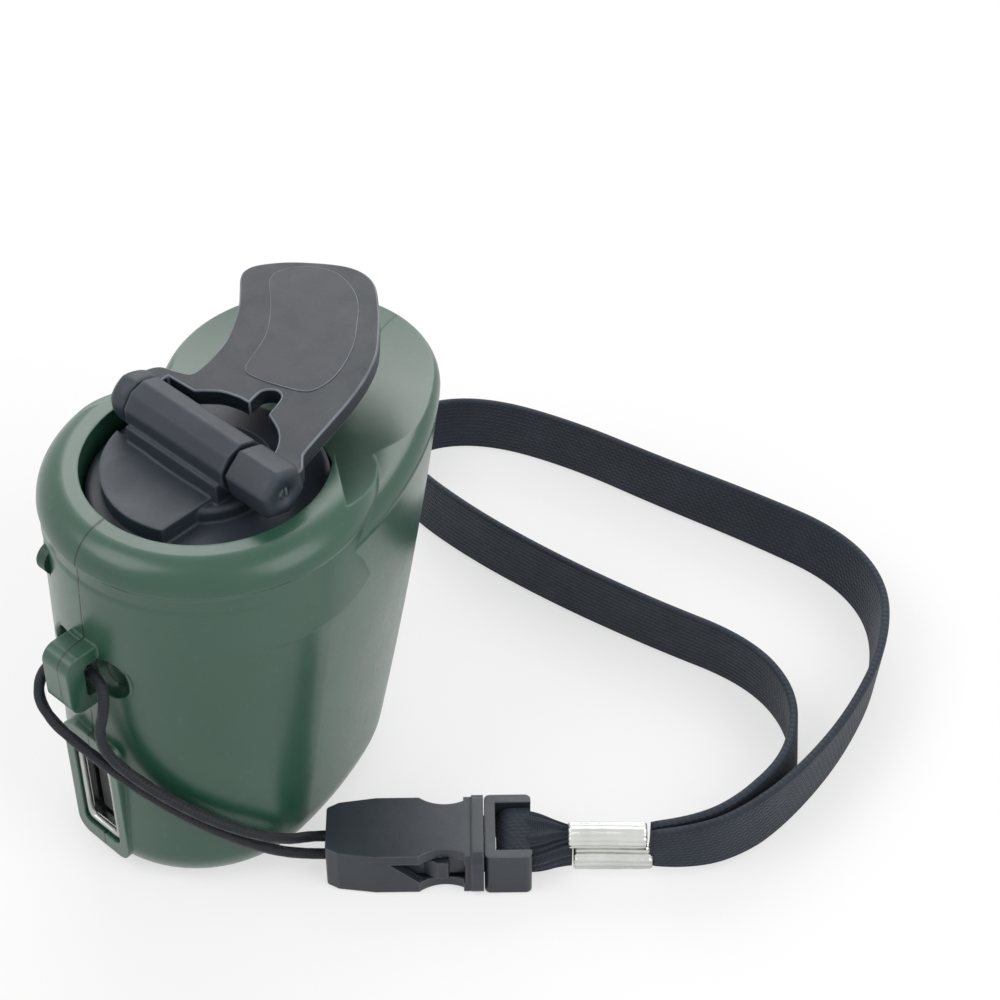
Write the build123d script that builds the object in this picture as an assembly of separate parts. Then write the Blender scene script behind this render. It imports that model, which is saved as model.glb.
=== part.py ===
"""Hand crank phone charger: moulded case, folding crank, gear train, generator, USB port and wrist lanyard.

Millimetres.  Z is the crank axis and points up, X is the hinge axis of the crank arm, +Y looks towards the
lobe that the folded arm lies over.  The origin is on the base, under the crank axis.
"""
from build123d import *
from math import acos, atan2, cos, degrees, hypot, pi, radians, sin, sqrt, tan
import os

# ---------------------------------------------------------------- driving sizes: case
WELL_FLOOR_Z = 46.5        # floor of the round well that the crank hub sits in
WELL_DEPTH = 8.0           # collar rim above the well floor
WELL_FLOOR_T = 2.0
WELL_R = 15.5
RIM_Z = WELL_FLOOR_Z + WELL_DEPTH
RIM_FLAT = 1.8             # flat top of the collar
COLLAR_R = 21.0
COLLAR_DROP = 3.6          # height of the collar's convex band
COLLAR_EDGE_Z = RIM_Z - COLLAR_DROP
DISH_DROP = 6.0            # lowest point of the dished lobe face, below the rim
DISH_Z = RIM_Z - DISH_DROP
DISH_R = 95.0
LOBE_EDGE_RISE = 2.0       # the lobe's edge stands this far above the lowest point of the dish
LOBE_EDGE_Z = DISH_Z + LOBE_EDGE_RISE
LOBE_EDGE_FILLET = 2.6
WALL = 2.0                 # wall of the moulded shells
FLOOR_T = 3.2              # floor of the case
ROUND_TOP_R = 20.8         # round part of the body, at the top
ROUND_BASE_R = 17.3        # round part of the body, at the base
ROUND_BASE_AT = (0.7, -6.4)       # the round part leans out towards the port
LOBE_TOP_R = 18.2
LOBE_BASE_R = 17.6
LOBE_TOP_AT = (-7.8, 23.4)
LOBE_BASE_AT = (-1.6, 2.8)
BELLY = 0.65               # extra radius of the lobe at half height
SIDE_R = 60.0              # convex side between the round part and the lobe
WAIST_R = 8.0              # hollow side between the round part and the lobe
BASE_FILLET = 6.0
CAVITY_FILLET = 3.4
PARTING_TURN = 6.9         # the two shells meet on a plane turned this far from YZ
PARTING_AT = (0.0, -21.0)
SCREW_R = 1.15
SCREW_HEAD_R = 2.1
SCREW_HEAD_H = 1.5
BOSS_R = 2.7
SCREW_PLACES = ((3.0, 7.2), (30.0, 40.6), (-18.3, 45.4))   # (y, z) of the case screws
SCREW_SEATS = (-13.5, -17.5, -7.6)                         # x of each head's seat
SCREW_LENGTH = 14.0

# ---------------------------------------------------------------- driving sizes: crank
HUB_R = 15.1
HUB_GAP = 0.4              # hub disc above the well floor
HUB_T = 4.6
HUB_TOP = WELL_FLOOR_Z + HUB_GAP + HUB_T
HINGE_RISE = 5.8           # hinge axis above the hub disc
HINGE_Z = HUB_TOP + HINGE_RISE
STEP_R = 13.0              # raised half of the hub, on the port side
STEP_H = 2.5
STEP_Z = HUB_TOP + STEP_H
STEP_X = (-12.4, 5.4)
STEP_Y = -3.6
STEP_DISH_R = 60.0
BOSS_TOP_R = 8.4           # round boss beyond the hinge
BOSS_TOP_H = 1.9
BOSS_TOP_Z = HUB_TOP + BOSS_TOP_H
BARREL_R = 3.5
BARREL_X = (-10.6, 7.0)
LUG_GAP = 0.35
LUG_LEFT_X = -14.4
LUG_RIGHT_X = 14.2
LUG_R = 3.4
LUG_BLOCK_R = 3.9          # faceted knuckle on the right
PIN_R = 0.9
PIN_FIT = 0.05
ARM_T = 2.4
ARM_TOP = 1.6              # top of the arm above the hinge axis, at the hinge
ARM_RISE = 2.5             # degrees that the folded arm rises towards its tip
CUT_R = 10.9               # C-shaped cut-out round the boss
CUT_AT = (0.2, -1.0)
SLOT_W = 3.0
SLOT_END_Y = 13.0
PAD_DEPTH = 0.5
PAD_SINK = 0.12            # the pad lies a little below the arm's face
KNOB_AT = (-12.4, 27.0)
KNOB_R = 5.0
KNOB_H = 4.2
KNOB_GAP = 0.3
KNOB_POST_R = 1.5
SHAFT_R = 2.5
BEARING_R = 4.4
FIT = 0.05                 # radial clearance of a shaft in its bearing

# ---------------------------------------------------------------- driving sizes: gear train
MODULE = 0.5
Z_DRIVE = 50
Z_SMALL_1 = 12
Z_BIG_1 = 46
Z_SMALL_2 = 16
Z_BIG_2 = 40
Z_ROTOR = 12
BACKLASH = 0.16
CENTRE_EXTRA = 0.08
IDLER_1_ANGLE = 120.0      # direction of the first idler from the crank axis
ROTOR_ANGLE = 90.0         # direction of the generator from the crank axis
GEAR_T = 2.0
STAGE_PITCH = 3.0          # height from one gear stage to the next
PLATE_T = 1.5
PLATE_SCREW_H = 0.7
PLATE_ROOM = 1.2           # room between a gear and the plate next to it
PLATE_TOP_Z = WELL_FLOOR_Z - WELL_FLOOR_T - PLATE_SCREW_H - PLATE_T
DRIVE_Z = PLATE_TOP_Z - PLATE_ROOM - GEAR_T
STAGE_2_Z = DRIVE_Z - STAGE_PITCH
STAGE_3_Z = STAGE_2_Z - STAGE_PITCH
PLATE_LOW_Z = STAGE_3_Z - PLATE_ROOM - 0.2 - PLATE_T
IDLER_PIN_R = 0.9
POST_R = 1.75
POST_SCREW_R = 0.8
POST_SCREW_HEAD_R = 1.4
POSTS = ((0.0, -15.2), (13.2, 7.6), (-14.4, -4.6), (4.6, 23.9))
CAN_R = 10.0
CAN_L = 12.3
CAN_Z = PLATE_LOW_Z - CAN_L
CAN_WALL = 0.8
CAP_L = 2.4
ROTOR_R = 7.6
MAGNET_T = 1.2
ROTOR_SHAFT_R = 1.0
BUSH_T = 0.6

# ---------------------------------------------------------------- driving sizes: board, ports
BOARD_X = -4.45            # the board lies against the port's shell
BOARD_T = 1.6
BOARD_Y = (-18.6, -1.0)
BOARD_Z = (7.0, 25.2)
BOARD_RIB_Y = (-12.0, -3.5)    # rib on the floor that the board stands on
USB_W = 5.7
USB_H = 13.1
USB_DEPTH = 14.0
USB_T = 0.35
USB_Z = 12.4
USB_FACE_Y = -22.3
FRAME_W = 10.0
FRAME_FACE_Y = -23.3
FRAME_Z = (2.4, 23.4)
POCKET_W = 7.0
POCKET_H = 15.4
POCKET_FLOOR_Y = -21.8
JACK_ANGLE = 227.0
JACK_Z = 24.6
JACK_R = 1.8
JACK_BODY = 6.0
JACK_DEPTH = 7.0
JACK_NOSE = 2.4
JACK_BORE_L = 7.4
LUG_Z = (30.4, 39.4)       # lanyard lug on the seam
LUG_OUT_Y = -26.3
LUG_W = 4.6
LUG_BAR_T = 2.6
LUG_HOLE_Z = (32.2, 37.4)

# ---------------------------------------------------------------- driving sizes: lanyard
STRAND_R = 0.7
WEB_W = 10.0
WEB_T = 1.2
WEB_Z = 0.3
BUCKLE_AT = (22.4, -4.5)   # small end of the buckle, on the ground
BUCKLE_TURN = 44.0
BUCKLE_W = 10.0
BUCKLE_T = 7.0
BUCKLE_Z = 0.3
BUCKLE_WALL = 1.2
FEMALE_L = 20.4
MALE_L = 6.1
MALE_GAP = 0.1
MALE_RAIL = 1.4
PRONG_T = 1.6
BAR_T = 1.8                # end bar that the webbing turns round
BAR_H = 2.4
TAIL_W = 7.4
CRIMP_AT = (45.9, 16.2)
CRIMP_TURN = 43.0
CRIMP_L = 10.7
CRIMP_T = 3.6
CRIMP_H = 8.4
CRIMP_Z = 4.9

os.makedirs("parts", exist_ok=True)


def keep(shape, node):
    """Write one named node."""
    export_step(shape, f"parts/{node}.step")


def blend(a, b, z):
    """Value between the base and the top section of the body."""
    share = z / LOBE_EDGE_Z
    if isinstance(a, tuple):
        return tuple(p + (q - p) * share for p, q in zip(a, b))
    return a + (b - a) * share


def section(z, inset=0.0):
    """Outline of the body at a height: the round part and the lobe, with one convex and one hollow side."""
    share = z / LOBE_EDGE_Z
    c1 = blend(ROUND_BASE_AT, (0.0, 0.0), z)
    c2 = blend(LOBE_BASE_AT, LOBE_TOP_AT, z)
    r1 = blend(ROUND_BASE_R, ROUND_TOP_R, z) - inset
    r2 = blend(LOBE_BASE_R, LOBE_TOP_R, z) + 4 * BELLY * share * (1 - share) - inset
    dx = c2[0] - c1[0]
    dy = c2[1] - c1[1]
    gap = hypot(dx, dy)
    line = atan2(dy, dx)

    def apex(from_1, from_2):
        """Angle at the first centre of the triangle with sides from_1, from_2 and gap."""
        return acos((from_1**2 + gap**2 - from_2**2) / (2 * from_1 * gap))

    def at(c, r, a):
        return (c[0] + r * cos(a), c[1] + r * sin(a), z)

    def toward(c, d):
        return atan2(d[1] - c[1], d[0] - c[0])

    side_r = SIDE_R - inset
    side = at(c1, side_r - r1, line + apex(side_r - r1, side_r - r2))
    waist_r = WAIST_R + inset
    waist = at(c1, r1 + waist_r, line + apex(r1 + waist_r, r2 + waist_r))
    right1 = at(c1, r1, toward(side, c1))
    right2 = at(c2, r2, toward(side, c2))
    left1 = at(c1, r1, toward(c1, waist))
    left2 = at(c2, r2, toward(c2, waist))
    mid_side = at(side, side_r, (toward(side, right1) + toward(side, right2)) / 2)
    mid_waist = at(waist, waist_r, (toward(waist, left1) + toward(waist, left2)) / 2)
    edges = [
        ThreePointArc(left1, at(c1, r1, line + pi), right1),
        ThreePointArc(right1, mid_side, right2),
        ThreePointArc(right2, at(c2, r2, line), left2),
        ThreePointArc(left2, mid_waist, left1),
    ]
    return Wire(edges)


def loft_body(z0, z1, inset, round_low, round_top=0.0):
    """Tapered body between two heights, rounded at the bottom and, where asked, at the top."""
    quarter = [radians(18 * k) for k in range(6)]
    low = [
        section(z0 + round_low * (1 - cos(a)), inset + round_low * (1 - sin(a))) for a in quarter
    ]
    foot = z0 + round_low
    head = z1 - round_top
    body = Solid.make_loft(low)
    body = body + Solid.make_loft([section(foot + (head - foot) * k / 4, inset) for k in range(5)])
    if round_top:
        high = [
            section(z1 - round_top * (1 - sin(a)), inset + round_top * (1 - cos(a))) for a in quarter
        ]
        body = body + Solid.make_loft(high)
    return body


def prism(points, z0, z1):
    """Upright prism over a closed list of plan points."""
    face = make_face(Polyline(*points, close=True))
    return Pos(0, 0, z0) * extrude(face, z1 - z0)


def disc(radius, z0, z1, at=(0.0, 0.0)):
    return Pos(at[0], at[1], (z0 + z1) / 2) * Cylinder(radius, z1 - z0)


def block(x, y, z):
    """Box from three (low, high) pairs."""
    return Pos((x[0] + x[1]) / 2, (y[0] + y[1]) / 2, (z[0] + z[1]) / 2) * Box(
        x[1] - x[0], y[1] - y[0], z[1] - z[0]
    )


def rod_x(radius, x0, x1, y, z):
    """Cylinder along X."""
    return Pos((x0 + x1) / 2, y, z) * Rot(0, 90, 0) * Cylinder(radius, x1 - x0)


# ================================================================= case
def collar():
    """Ring round the well, with a flat top and a convex band that falls to the body."""
    inner = WELL_R - 1.0
    low = WELL_FLOOR_Z - WELL_FLOOR_T - 4.0
    flat = WELL_R + RIM_FLAT
    mid = (COLLAR_R - 1.3, (RIM_Z + COLLAR_EDGE_Z) / 2 + 0.75)
    profile = [
        Line((inner, low), (COLLAR_R - 0.25, low)),
        Line((COLLAR_R - 0.25, low), (COLLAR_R - 0.25, COLLAR_EDGE_Z - 0.5)),
        Line((COLLAR_R - 0.25, COLLAR_EDGE_Z - 0.5), (COLLAR_R, COLLAR_EDGE_Z)),
        ThreePointArc((COLLAR_R, COLLAR_EDGE_Z), mid, (flat, RIM_Z)),
        Line((flat, RIM_Z), (inner, RIM_Z)),
        Line((inner, RIM_Z), (inner, low)),
    ]
    face = make_face(Plane.XZ * Wire(profile))
    return revolve(face, Axis.Z)


def lobe_side():
    """Space above the dished lobe face, bounded by the two horns of the collar."""
    horn_right = (10.2, 11.8)
    horn_left = (-15.2, 3.2)
    far = 60.0
    points = [
        (26.0, 2.0),
        (20.2, 4.6),
        horn_right,
        (4.0, 14.9),
        (-8.0, 13.2),
        horn_left,
        (-19.8, -6.8),
        (-30.0, -12.0),
        (-far, far),
        (far, far),
    ]
    ball = Pos(LOBE_TOP_AT[0], LOBE_TOP_AT[1], DISH_Z + DISH_R) * Sphere(DISH_R)
    return prism(points, DISH_Z - 1, RIM_Z + 5) & ball


def case_blank():
    body = loft_body(0, LOBE_EDGE_Z, 0, BASE_FILLET, LOBE_EDGE_FILLET)
    ball = Pos(LOBE_TOP_AT[0], LOBE_TOP_AT[1], DISH_Z + DISH_R) * Sphere(DISH_R)
    body = body - ball
    ring = collar() - lobe_side()
    return body + ring


def frame_and_lug(blank):
    """Port frame and lanyard lug that stand proud of the port side."""
    frame = block((-FRAME_W / 2, FRAME_W / 2), (FRAME_FACE_Y, -17.0), FRAME_Z)
    frame = fillet(frame.edges().filter_by(Axis.Y), 2.2)
    eye = block((-LUG_W / 2, LUG_W / 2), (LUG_OUT_Y, -18.6), LUG_Z)
    eye = fillet(eye.edges().filter_by(Axis.X).sort_by(Axis.Y)[:2], 2.0)
    hole_in = LUG_OUT_Y + LUG_BAR_T + 2.9
    hole = block((-LUG_W, LUG_W), (LUG_OUT_Y + LUG_BAR_T, hole_in), LUG_HOLE_Z)
    hole = fillet(hole.edges().filter_by(Axis.X), 0.9)
    mid_z = (LUG_HOLE_Z[0] + LUG_HOLE_Z[1]) / 2
    scoops = [Pos(side * 4.0, hole_in - 0.4, mid_z) * Sphere(2.9) for side in (-1, 1)]
    return (blank + frame + eye) - hole - scoops


def hollow():
    """Space inside the two shells."""
    return loft_body(FLOOR_T, WELL_FLOOR_Z - WELL_FLOOR_T, WALL, CAVITY_FILLET)


def case_bosses(blank):
    """Screw bosses that cross the cavity."""
    made = []
    for y, z in SCREW_PLACES[:2]:
        made.append(rod_x(BOSS_R, -40, 30, y, z))
    return (made[0] + made[1]) & blank


def screw_holes():
    cuts = []
    for (y, z), seat in zip(SCREW_PLACES, SCREW_SEATS):
        cuts.append(rod_x(SCREW_R + 0.05, seat - 1, seat + SCREW_LENGTH, y, z))
        cuts.append(rod_x(SCREW_HEAD_R + 0.3, seat - 20, seat, y, z))
    return cuts


def jack_axis():
    a = radians(JACK_ANGLE)
    return cos(a), sin(a)


def port_cuts():
    pocket = block(
        (-POCKET_W / 2, POCKET_W / 2),
        (FRAME_FACE_Y - 1, POCKET_FLOOR_Y),
        (USB_Z - POCKET_H / 2, USB_Z + POCKET_H / 2),
    )
    pocket = fillet(pocket.edges().filter_by(Axis.Y), 1.2)
    through = block(
        (-USB_W / 2 - 0.15, USB_W / 2 + 0.15),
        (FRAME_FACE_Y - 1, -14.0),
        (USB_Z - USB_H / 2 - 0.15, USB_Z + USB_H / 2 + 0.15),
    )
    c, s = jack_axis()
    bore = Pos(22 * c, 22 * s, JACK_Z) * Rot(0, 0, JACK_ANGLE) * Rot(0, 90, 0) * Cylinder(2.5, 16)
    return [pocket, through, bore]


def shells():
    blank = frame_and_lug(case_blank())
    case = blank - hollow()
    case = case + case_bosses(blank)
    case = case + block((BOARD_X, BOARD_X + BOARD_T), BOARD_RIB_Y, (FLOOR_T - 1, BOARD_Z[0]))
    case = case - disc(WELL_R, WELL_FLOOR_Z, RIM_Z + 5)
    case = case - disc(BEARING_R, WELL_FLOOR_Z - 10, WELL_FLOOR_Z + 1)
    for cut in screw_holes() + port_cuts():
        case = case - cut
    side = (
        Pos(PARTING_AT[0], PARTING_AT[1], 0)
        * Rot(0, 0, PARTING_TURN)
        * Pos(100, 0, 0)
        * Box(200, 300, 300)
    )
    # the lanyard lug belongs to the right shell whole, so the left shell stops at the body wall there
    right = case & side
    left = case - side
    beyond = block((-LUG_W / 2, LUG_W / 2), (LUG_OUT_Y - 1, -22.2), (LUG_Z[0] - 0.5, LUG_Z[1] + 0.5))
    right = right + (left & beyond)
    left = left - beyond
    return main_solid(left), main_solid(right)


def main_solid(shape):
    """The largest solid of a shape."""
    return sorted(shape.solids(), key=lambda s: s.volume)[-1]


def case_screws():
    made = []
    for (y, z), seat in zip(SCREW_PLACES, SCREW_SEATS):
        shank = rod_x(SCREW_R, seat, seat + SCREW_LENGTH - 1, y, z)
        head = rod_x(SCREW_HEAD_R, seat - SCREW_HEAD_H, seat, y, z)
        slot = block((seat - SCREW_HEAD_H - 1, seat - SCREW_HEAD_H + 0.6), (y - 1.2, y + 1.2), (z - 0.3, z + 0.3))
        cross = block((seat - SCREW_HEAD_H - 1, seat - SCREW_HEAD_H + 0.6), (y - 0.3, y + 0.3), (z - 1.2, z + 1.2))
        made.append(shank + head - slot - cross)
    return Compound(children=made)


# ================================================================= gears
def gear_face(teeth, phase):
    """Involute gear outline; phase is the direction in degrees that the middle of one tooth points."""
    pressure = radians(25)
    pitch_r = MODULE * teeth / 2
    base_r = pitch_r * cos(pressure)
    tip_r = pitch_r + 0.85 * MODULE
    root_r = pitch_r - 1.15 * MODULE
    half = (pi * MODULE / 2 - BACKLASH / 2) / (2 * pitch_r)
    inv_p = tan(pressure) - pressure

    def half_angle(r):
        if r <= base_r:
            return half + inv_p
        turn = sqrt((r / base_r) ** 2 - 1)
        return half + inv_p - (turn - atan2(turn, 1))

    start = max(root_r, base_r)
    radii = [start + (tip_r - start) * k / 3 for k in range(4)]
    if root_r < base_r - 0.01:
        radii = [root_r] + radii
    points = []
    for k in range(teeth):
        middle = radians(phase) + 2 * pi * k / teeth
        rising = [(r, middle - half_angle(r)) for r in radii]
        falling = [(r, middle + half_angle(r)) for r in reversed(radii)]
        points += [(r * cos(a), r * sin(a)) for r, a in rising + falling]
    return make_face(Polyline(*points, close=True))


def gear(teeth, z, thick, phase, at=(0.0, 0.0)):
    return Pos(at[0], at[1], z) * extrude(gear_face(teeth, phase), thick)


def centre(z1, z2, angle):
    """Place of an axis that stands off another by two meshing gears."""
    d = MODULE * (z1 + z2) / 2 + CENTRE_EXTRA
    return (d * cos(radians(angle)), d * sin(radians(angle)))


IDLER_1 = centre(Z_DRIVE, Z_SMALL_1, IDLER_1_ANGLE)
ROTOR = centre(Z_BIG_2, Z_ROTOR, ROTOR_ANGLE)


def gears():
    """The four turning gear pieces, each tooth facing a gap of its mate."""
    out = IDLER_1_ANGLE
    drive = gear(Z_DRIVE, DRIVE_Z, GEAR_T, out) - disc(SHAFT_R, 30, 50)
    facing_1 = out + 180 + 180 / Z_SMALL_1
    small_1 = gear(Z_SMALL_1, DRIVE_Z - 0.2, GEAR_T + 0.4, facing_1, IDLER_1)
    big_1 = gear(Z_BIG_1, STAGE_2_Z, GEAR_T, out + 180, IDLER_1)
    hub_1 = disc(3.2, STAGE_2_Z, DRIVE_Z - 0.2, IDLER_1)
    idler_1 = small_1 + big_1 + hub_1 - disc(IDLER_PIN_R + FIT, 10, 60, IDLER_1)
    small_2 = gear(Z_SMALL_2, STAGE_2_Z - 0.2, GEAR_T + 0.4, out + 180 / Z_SMALL_2)
    big_2 = gear(Z_BIG_2, STAGE_3_Z, GEAR_T, ROTOR_ANGLE)
    hub_2 = disc(4.2, STAGE_3_Z, STAGE_2_Z - 0.2)
    idler_2 = small_2 + big_2 + hub_2 - disc(IDLER_PIN_R + FIT, 10, 60)
    facing_r = ROTOR_ANGLE + 180 + 180 / Z_ROTOR
    pinion = gear(Z_ROTOR, STAGE_3_Z - 0.2, GEAR_T + 0.4, facing_r, ROTOR) - disc(ROTOR_SHAFT_R, 10, 60, ROTOR)
    return drive, idler_1, idler_2, pinion


def gear_plate(z):
    """Plate with a rounded corner at each post."""
    corners = [(0.0, -17.8), (15.0, 6.0), (14.6, 10.0), (7.0, 24.6), (2.0, 26.4), (-10.6, 17.2), (-16.2, -3.2)]
    corners += [(-15.2, -6.6)]
    plate = prism(corners, z, z + PLATE_T)
    plate = fillet(plate.edges().filter_by(Axis.Z), 2.2)
    return plate


def gearbox():
    """Two plates on four posts, with a screw at each end of a post, and the idlers' pins."""
    low = gear_plate(PLATE_LOW_Z) - disc(ROTOR_SHAFT_R + BUSH_T, 10, 60, ROTOR) - disc(IDLER_PIN_R, 10, 60)
    top = gear_plate(PLATE_TOP_Z) - disc(BEARING_R + 0.6, 10, 60) - disc(IDLER_PIN_R, 10, 60, IDLER_1)
    screws = []
    posts = []
    for at in POSTS:
        low = low - disc(POST_SCREW_R, 10, 60, at)
        top = top - disc(POST_SCREW_R, 10, 60, at)
        post = disc(POST_R, PLATE_LOW_Z + PLATE_T, PLATE_TOP_Z, at)
        post = post - disc(POST_SCREW_R, PLATE_TOP_Z - 3, PLATE_TOP_Z + 1, at)
        posts.append(post - disc(POST_SCREW_R, PLATE_LOW_Z, PLATE_LOW_Z + PLATE_T + 3, at))
        for z0, z1, zh in (
            (PLATE_TOP_Z - 2.5, PLATE_TOP_Z + PLATE_T, PLATE_TOP_Z + PLATE_T),
            (PLATE_LOW_Z, PLATE_LOW_Z + PLATE_T + 2.5, PLATE_LOW_Z - PLATE_SCREW_H),
        ):
            shank = disc(POST_SCREW_R, z0, z1, at)
            screws.append(shank + disc(POST_SCREW_HEAD_R, zh, zh + PLATE_SCREW_H, at))
    pin_1 = disc(IDLER_PIN_R, STAGE_2_Z - 0.3, PLATE_TOP_Z + PLATE_T, IDLER_1)
    pin_1 = pin_1 + disc(IDLER_PIN_R + 0.6, STAGE_2_Z - 0.9, STAGE_2_Z - 0.2, IDLER_1)
    pin_2 = disc(IDLER_PIN_R, PLATE_LOW_Z, DRIVE_Z - 0.6)
    pin_2 = pin_2 + disc(IDLER_PIN_R + 0.9, PLATE_LOW_Z + PLATE_T, STAGE_3_Z - 0.2)
    return low, top, posts, screws, pin_1, pin_2


# ================================================================= generator
def generator():
    top_z = PLATE_LOW_Z
    can = disc(CAN_R, CAN_Z, top_z, ROTOR) - disc(CAN_R - CAN_WALL, CAN_Z + 1.0, top_z - 0.8, ROTOR)
    can = can - disc(ROTOR_SHAFT_R + BUSH_T, 0, 60, ROTOR)
    split = CAN_Z + CAP_L
    cap = can & disc(CAN_R + 1, CAN_Z - 1, split, ROTOR)
    can = can - disc(CAN_R + 1, CAN_Z - 1, split, ROTOR)
    ring = disc(CAN_R - CAN_WALL, split + 0.4, top_z - 1.6, ROTOR)
    ring = ring - disc(CAN_R - CAN_WALL - MAGNET_T, CAN_Z, top_z, ROTOR)
    gap = Pos(ROTOR[0], ROTOR[1], (split + top_z) / 2) * Box(2.4, 40, 40)
    magnets = ring - gap
    rotor = disc(ROTOR_R, split + 0.8, top_z - 2.2, ROTOR)
    for k in range(3):
        a = radians(90 + 120 * k)
        slot = Pos(ROTOR[0] + 5.6 * cos(a), ROTOR[1] + 5.6 * sin(a), (split + top_z) / 2)
        rotor = rotor - slot * Rot(0, 0, degrees(a)) * Box(6.0, 2.0, 40)
    rotor = rotor - disc(ROTOR_SHAFT_R, 0, 60, ROTOR)
    shaft = disc(ROTOR_SHAFT_R, CAN_Z + 0.2, STAGE_3_Z + GEAR_T + 0.2, ROTOR)
    bush_low = disc(ROTOR_SHAFT_R + BUSH_T, CAN_Z, CAN_Z + 1.0, ROTOR) - disc(ROTOR_SHAFT_R + FIT, 0, 60, ROTOR)
    bush_top = disc(ROTOR_SHAFT_R + BUSH_T, top_z - 0.8, top_z + PLATE_T, ROTOR)
    bush_top = bush_top - disc(ROTOR_SHAFT_R + FIT, 0, 60, ROTOR)
    return can, cap, magnets, rotor, shaft, Compound(children=[bush_low, bush_top])


# ================================================================= board and ports
def board():
    pcb = block((BOARD_X, BOARD_X + BOARD_T), BOARD_Y, BOARD_Z)
    face = BOARD_X
    cap = Pos(face - 3.0, -6.0, 11.0) * Cylinder(3.0, 8.0)
    coil = block((face - 3.6, face), (-15.2, -10.2), (14.4, 19.0))
    coil = fillet(coil.edges().filter_by(Axis.X), 1.0)
    chip = block((face - 1.6, face), (-7.6, -3.6), (19.0, 22.6))
    diodes = [block((face - 1.9, face), (-15.4, -11.4), (z, z + 1.9)) for z in (6.0, 9.2)]
    return pcb, cap, coil, chip, diodes


def usb():
    y1 = USB_FACE_Y + USB_DEPTH
    outer = block((-USB_W / 2, USB_W / 2), (USB_FACE_Y, y1), (USB_Z - USB_H / 2, USB_Z + USB_H / 2))
    inner = block(
        (-USB_W / 2 + USB_T, USB_W / 2 - USB_T),
        (USB_FACE_Y - 1, y1 - 2.4),
        (USB_Z - USB_H / 2 + USB_T, USB_Z + USB_H / 2 - USB_T),
    )
    shell = outer - inner
    x0 = -USB_W / 2 + USB_T + 0.5
    tongue = block((x0, x0 + 1.9), (USB_FACE_Y + 1.2, y1 - 2.4), (USB_Z - 5.6, USB_Z + 5.6))
    contacts = [
        block((x0 + 1.9, x0 + 2.1), (USB_FACE_Y + 2.4, y1 - 2.4), (USB_Z + dz - 0.5, USB_Z + dz + 0.5))
        for dz in (-3.5, -1.25, 1.25, 3.5)
    ]
    return shell, tongue, contacts


def jack():
    """Round output socket with a plain bore, pressed against the wall from inside."""
    turn = Rot(0, 0, JACK_ANGLE)
    out = 18.6
    body = Pos(out - 0.6 - JACK_DEPTH / 2, 0, 0) * Box(JACK_DEPTH, JACK_BODY, JACK_BODY)
    nose = Pos(out - 0.6 + JACK_NOSE / 2, 0, 0) * Rot(0, 90, 0) * Cylinder(2.4, JACK_NOSE)
    tip = out - 0.6 + JACK_NOSE
    bore = Pos(tip - JACK_BORE_L / 2 + 1, 0, 0) * Rot(0, 90, 0) * Cylinder(JACK_R, JACK_BORE_L + 2)
    return Pos(0, 0, JACK_Z) * turn * (body + nose - bore)


# ================================================================= crank
def crank_hub():
    """Drum with a raised step towards the port, a round boss and the barrel of the hinge."""
    low = WELL_FLOOR_Z + HUB_GAP
    drum = disc(HUB_R, low, HUB_TOP)
    drum = fillet(drum.edges().sort_by(Axis.Z)[-1], 0.8)
    step = disc(STEP_R, HUB_TOP - 1, STEP_Z) & block(STEP_X, (-20, STEP_Y), (HUB_TOP - 1, STEP_Z))
    step = step - Pos(-2.0, -8.0, STEP_Z - 0.35 + STEP_DISH_R) * Sphere(STEP_DISH_R)
    boss = disc(BOSS_TOP_R, HUB_TOP - 1, BOSS_TOP_Z)
    boss = fillet(boss.edges().sort_by(Axis.Z)[-1], 0.6)
    length = BARREL_X[1] - BARREL_X[0]
    outline = fillet(RegularPolygon(BARREL_R + 0.1, 10, rotation=18).vertices(), 0.9)
    barrel = Pos(BARREL_X[0], 0, HINGE_Z) * (Plane.YZ * extrude(outline, length))
    web = block((BARREL_X[0] + 0.6, BARREL_X[1] - 0.6), (STEP_Y - 0.4, 2.4), (HUB_TOP - 1, HINGE_Z - 1))
    hub = drum + step + boss + barrel + web
    hub = hub - rod_x(PIN_R + PIN_FIT, -20, 20, 0, HINGE_Z)
    return hub - disc(SHAFT_R, low - 1, BOSS_TOP_Z - 0.6)


def crank_shaft():
    bottom = DRIVE_Z - 0.4
    shaft = disc(SHAFT_R, bottom, BOSS_TOP_Z - 0.6)
    return shaft


def hub_bearing():
    sleeve = disc(BEARING_R, PLATE_TOP_Z, WELL_FLOOR_Z + HUB_GAP - 0.1)
    return sleeve - disc(SHAFT_R + FIT, 30, 60)


def arm_outline():
    """Plan outline of the arm plate: narrow at the hinge, bent towards the middle of the lobe."""
    corner_left = (-8.4, 3.4)
    corner_right = (10.4, 9.4)
    left = [corner_left, (-9.0, 7.0), (-10.2, 10.6), (-12.2, 14.5), (-15.0, 18.8), (-17.9, 22.4), (-20.2, 25.2)]
    tip = [(-20.2, 25.2), (-19.4, 27.6), (-16.6, 30.4), (-12.4, 33.2), (-7.6, 34.3), (-4.4, 33.4), (-1.6, 31.2)]
    right = [(-1.6, 31.2), (2.9, 26.2), (5.6, 21.3), (7.7, 17.0), (9.3, 12.8), corner_right]
    x0 = LUG_LEFT_X
    x1 = LUG_RIGHT_X
    edges = [
        Spline(*left),
        Spline(*tip),
        Spline(*right),
        Polyline(corner_right, (11.2, 6.0), (x1, 3.8), (x1, -0.6), (x0, -0.6), (x0, 2.6), (-12.6, 3.4), corner_left),
    ]
    return make_face(edges)


def arm_tilt():
    """The arm is drawn level and then raised about the hinge axis."""
    return Pos(0, 0, HINGE_Z) * Rot(ARM_RISE, 0, 0)


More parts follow.
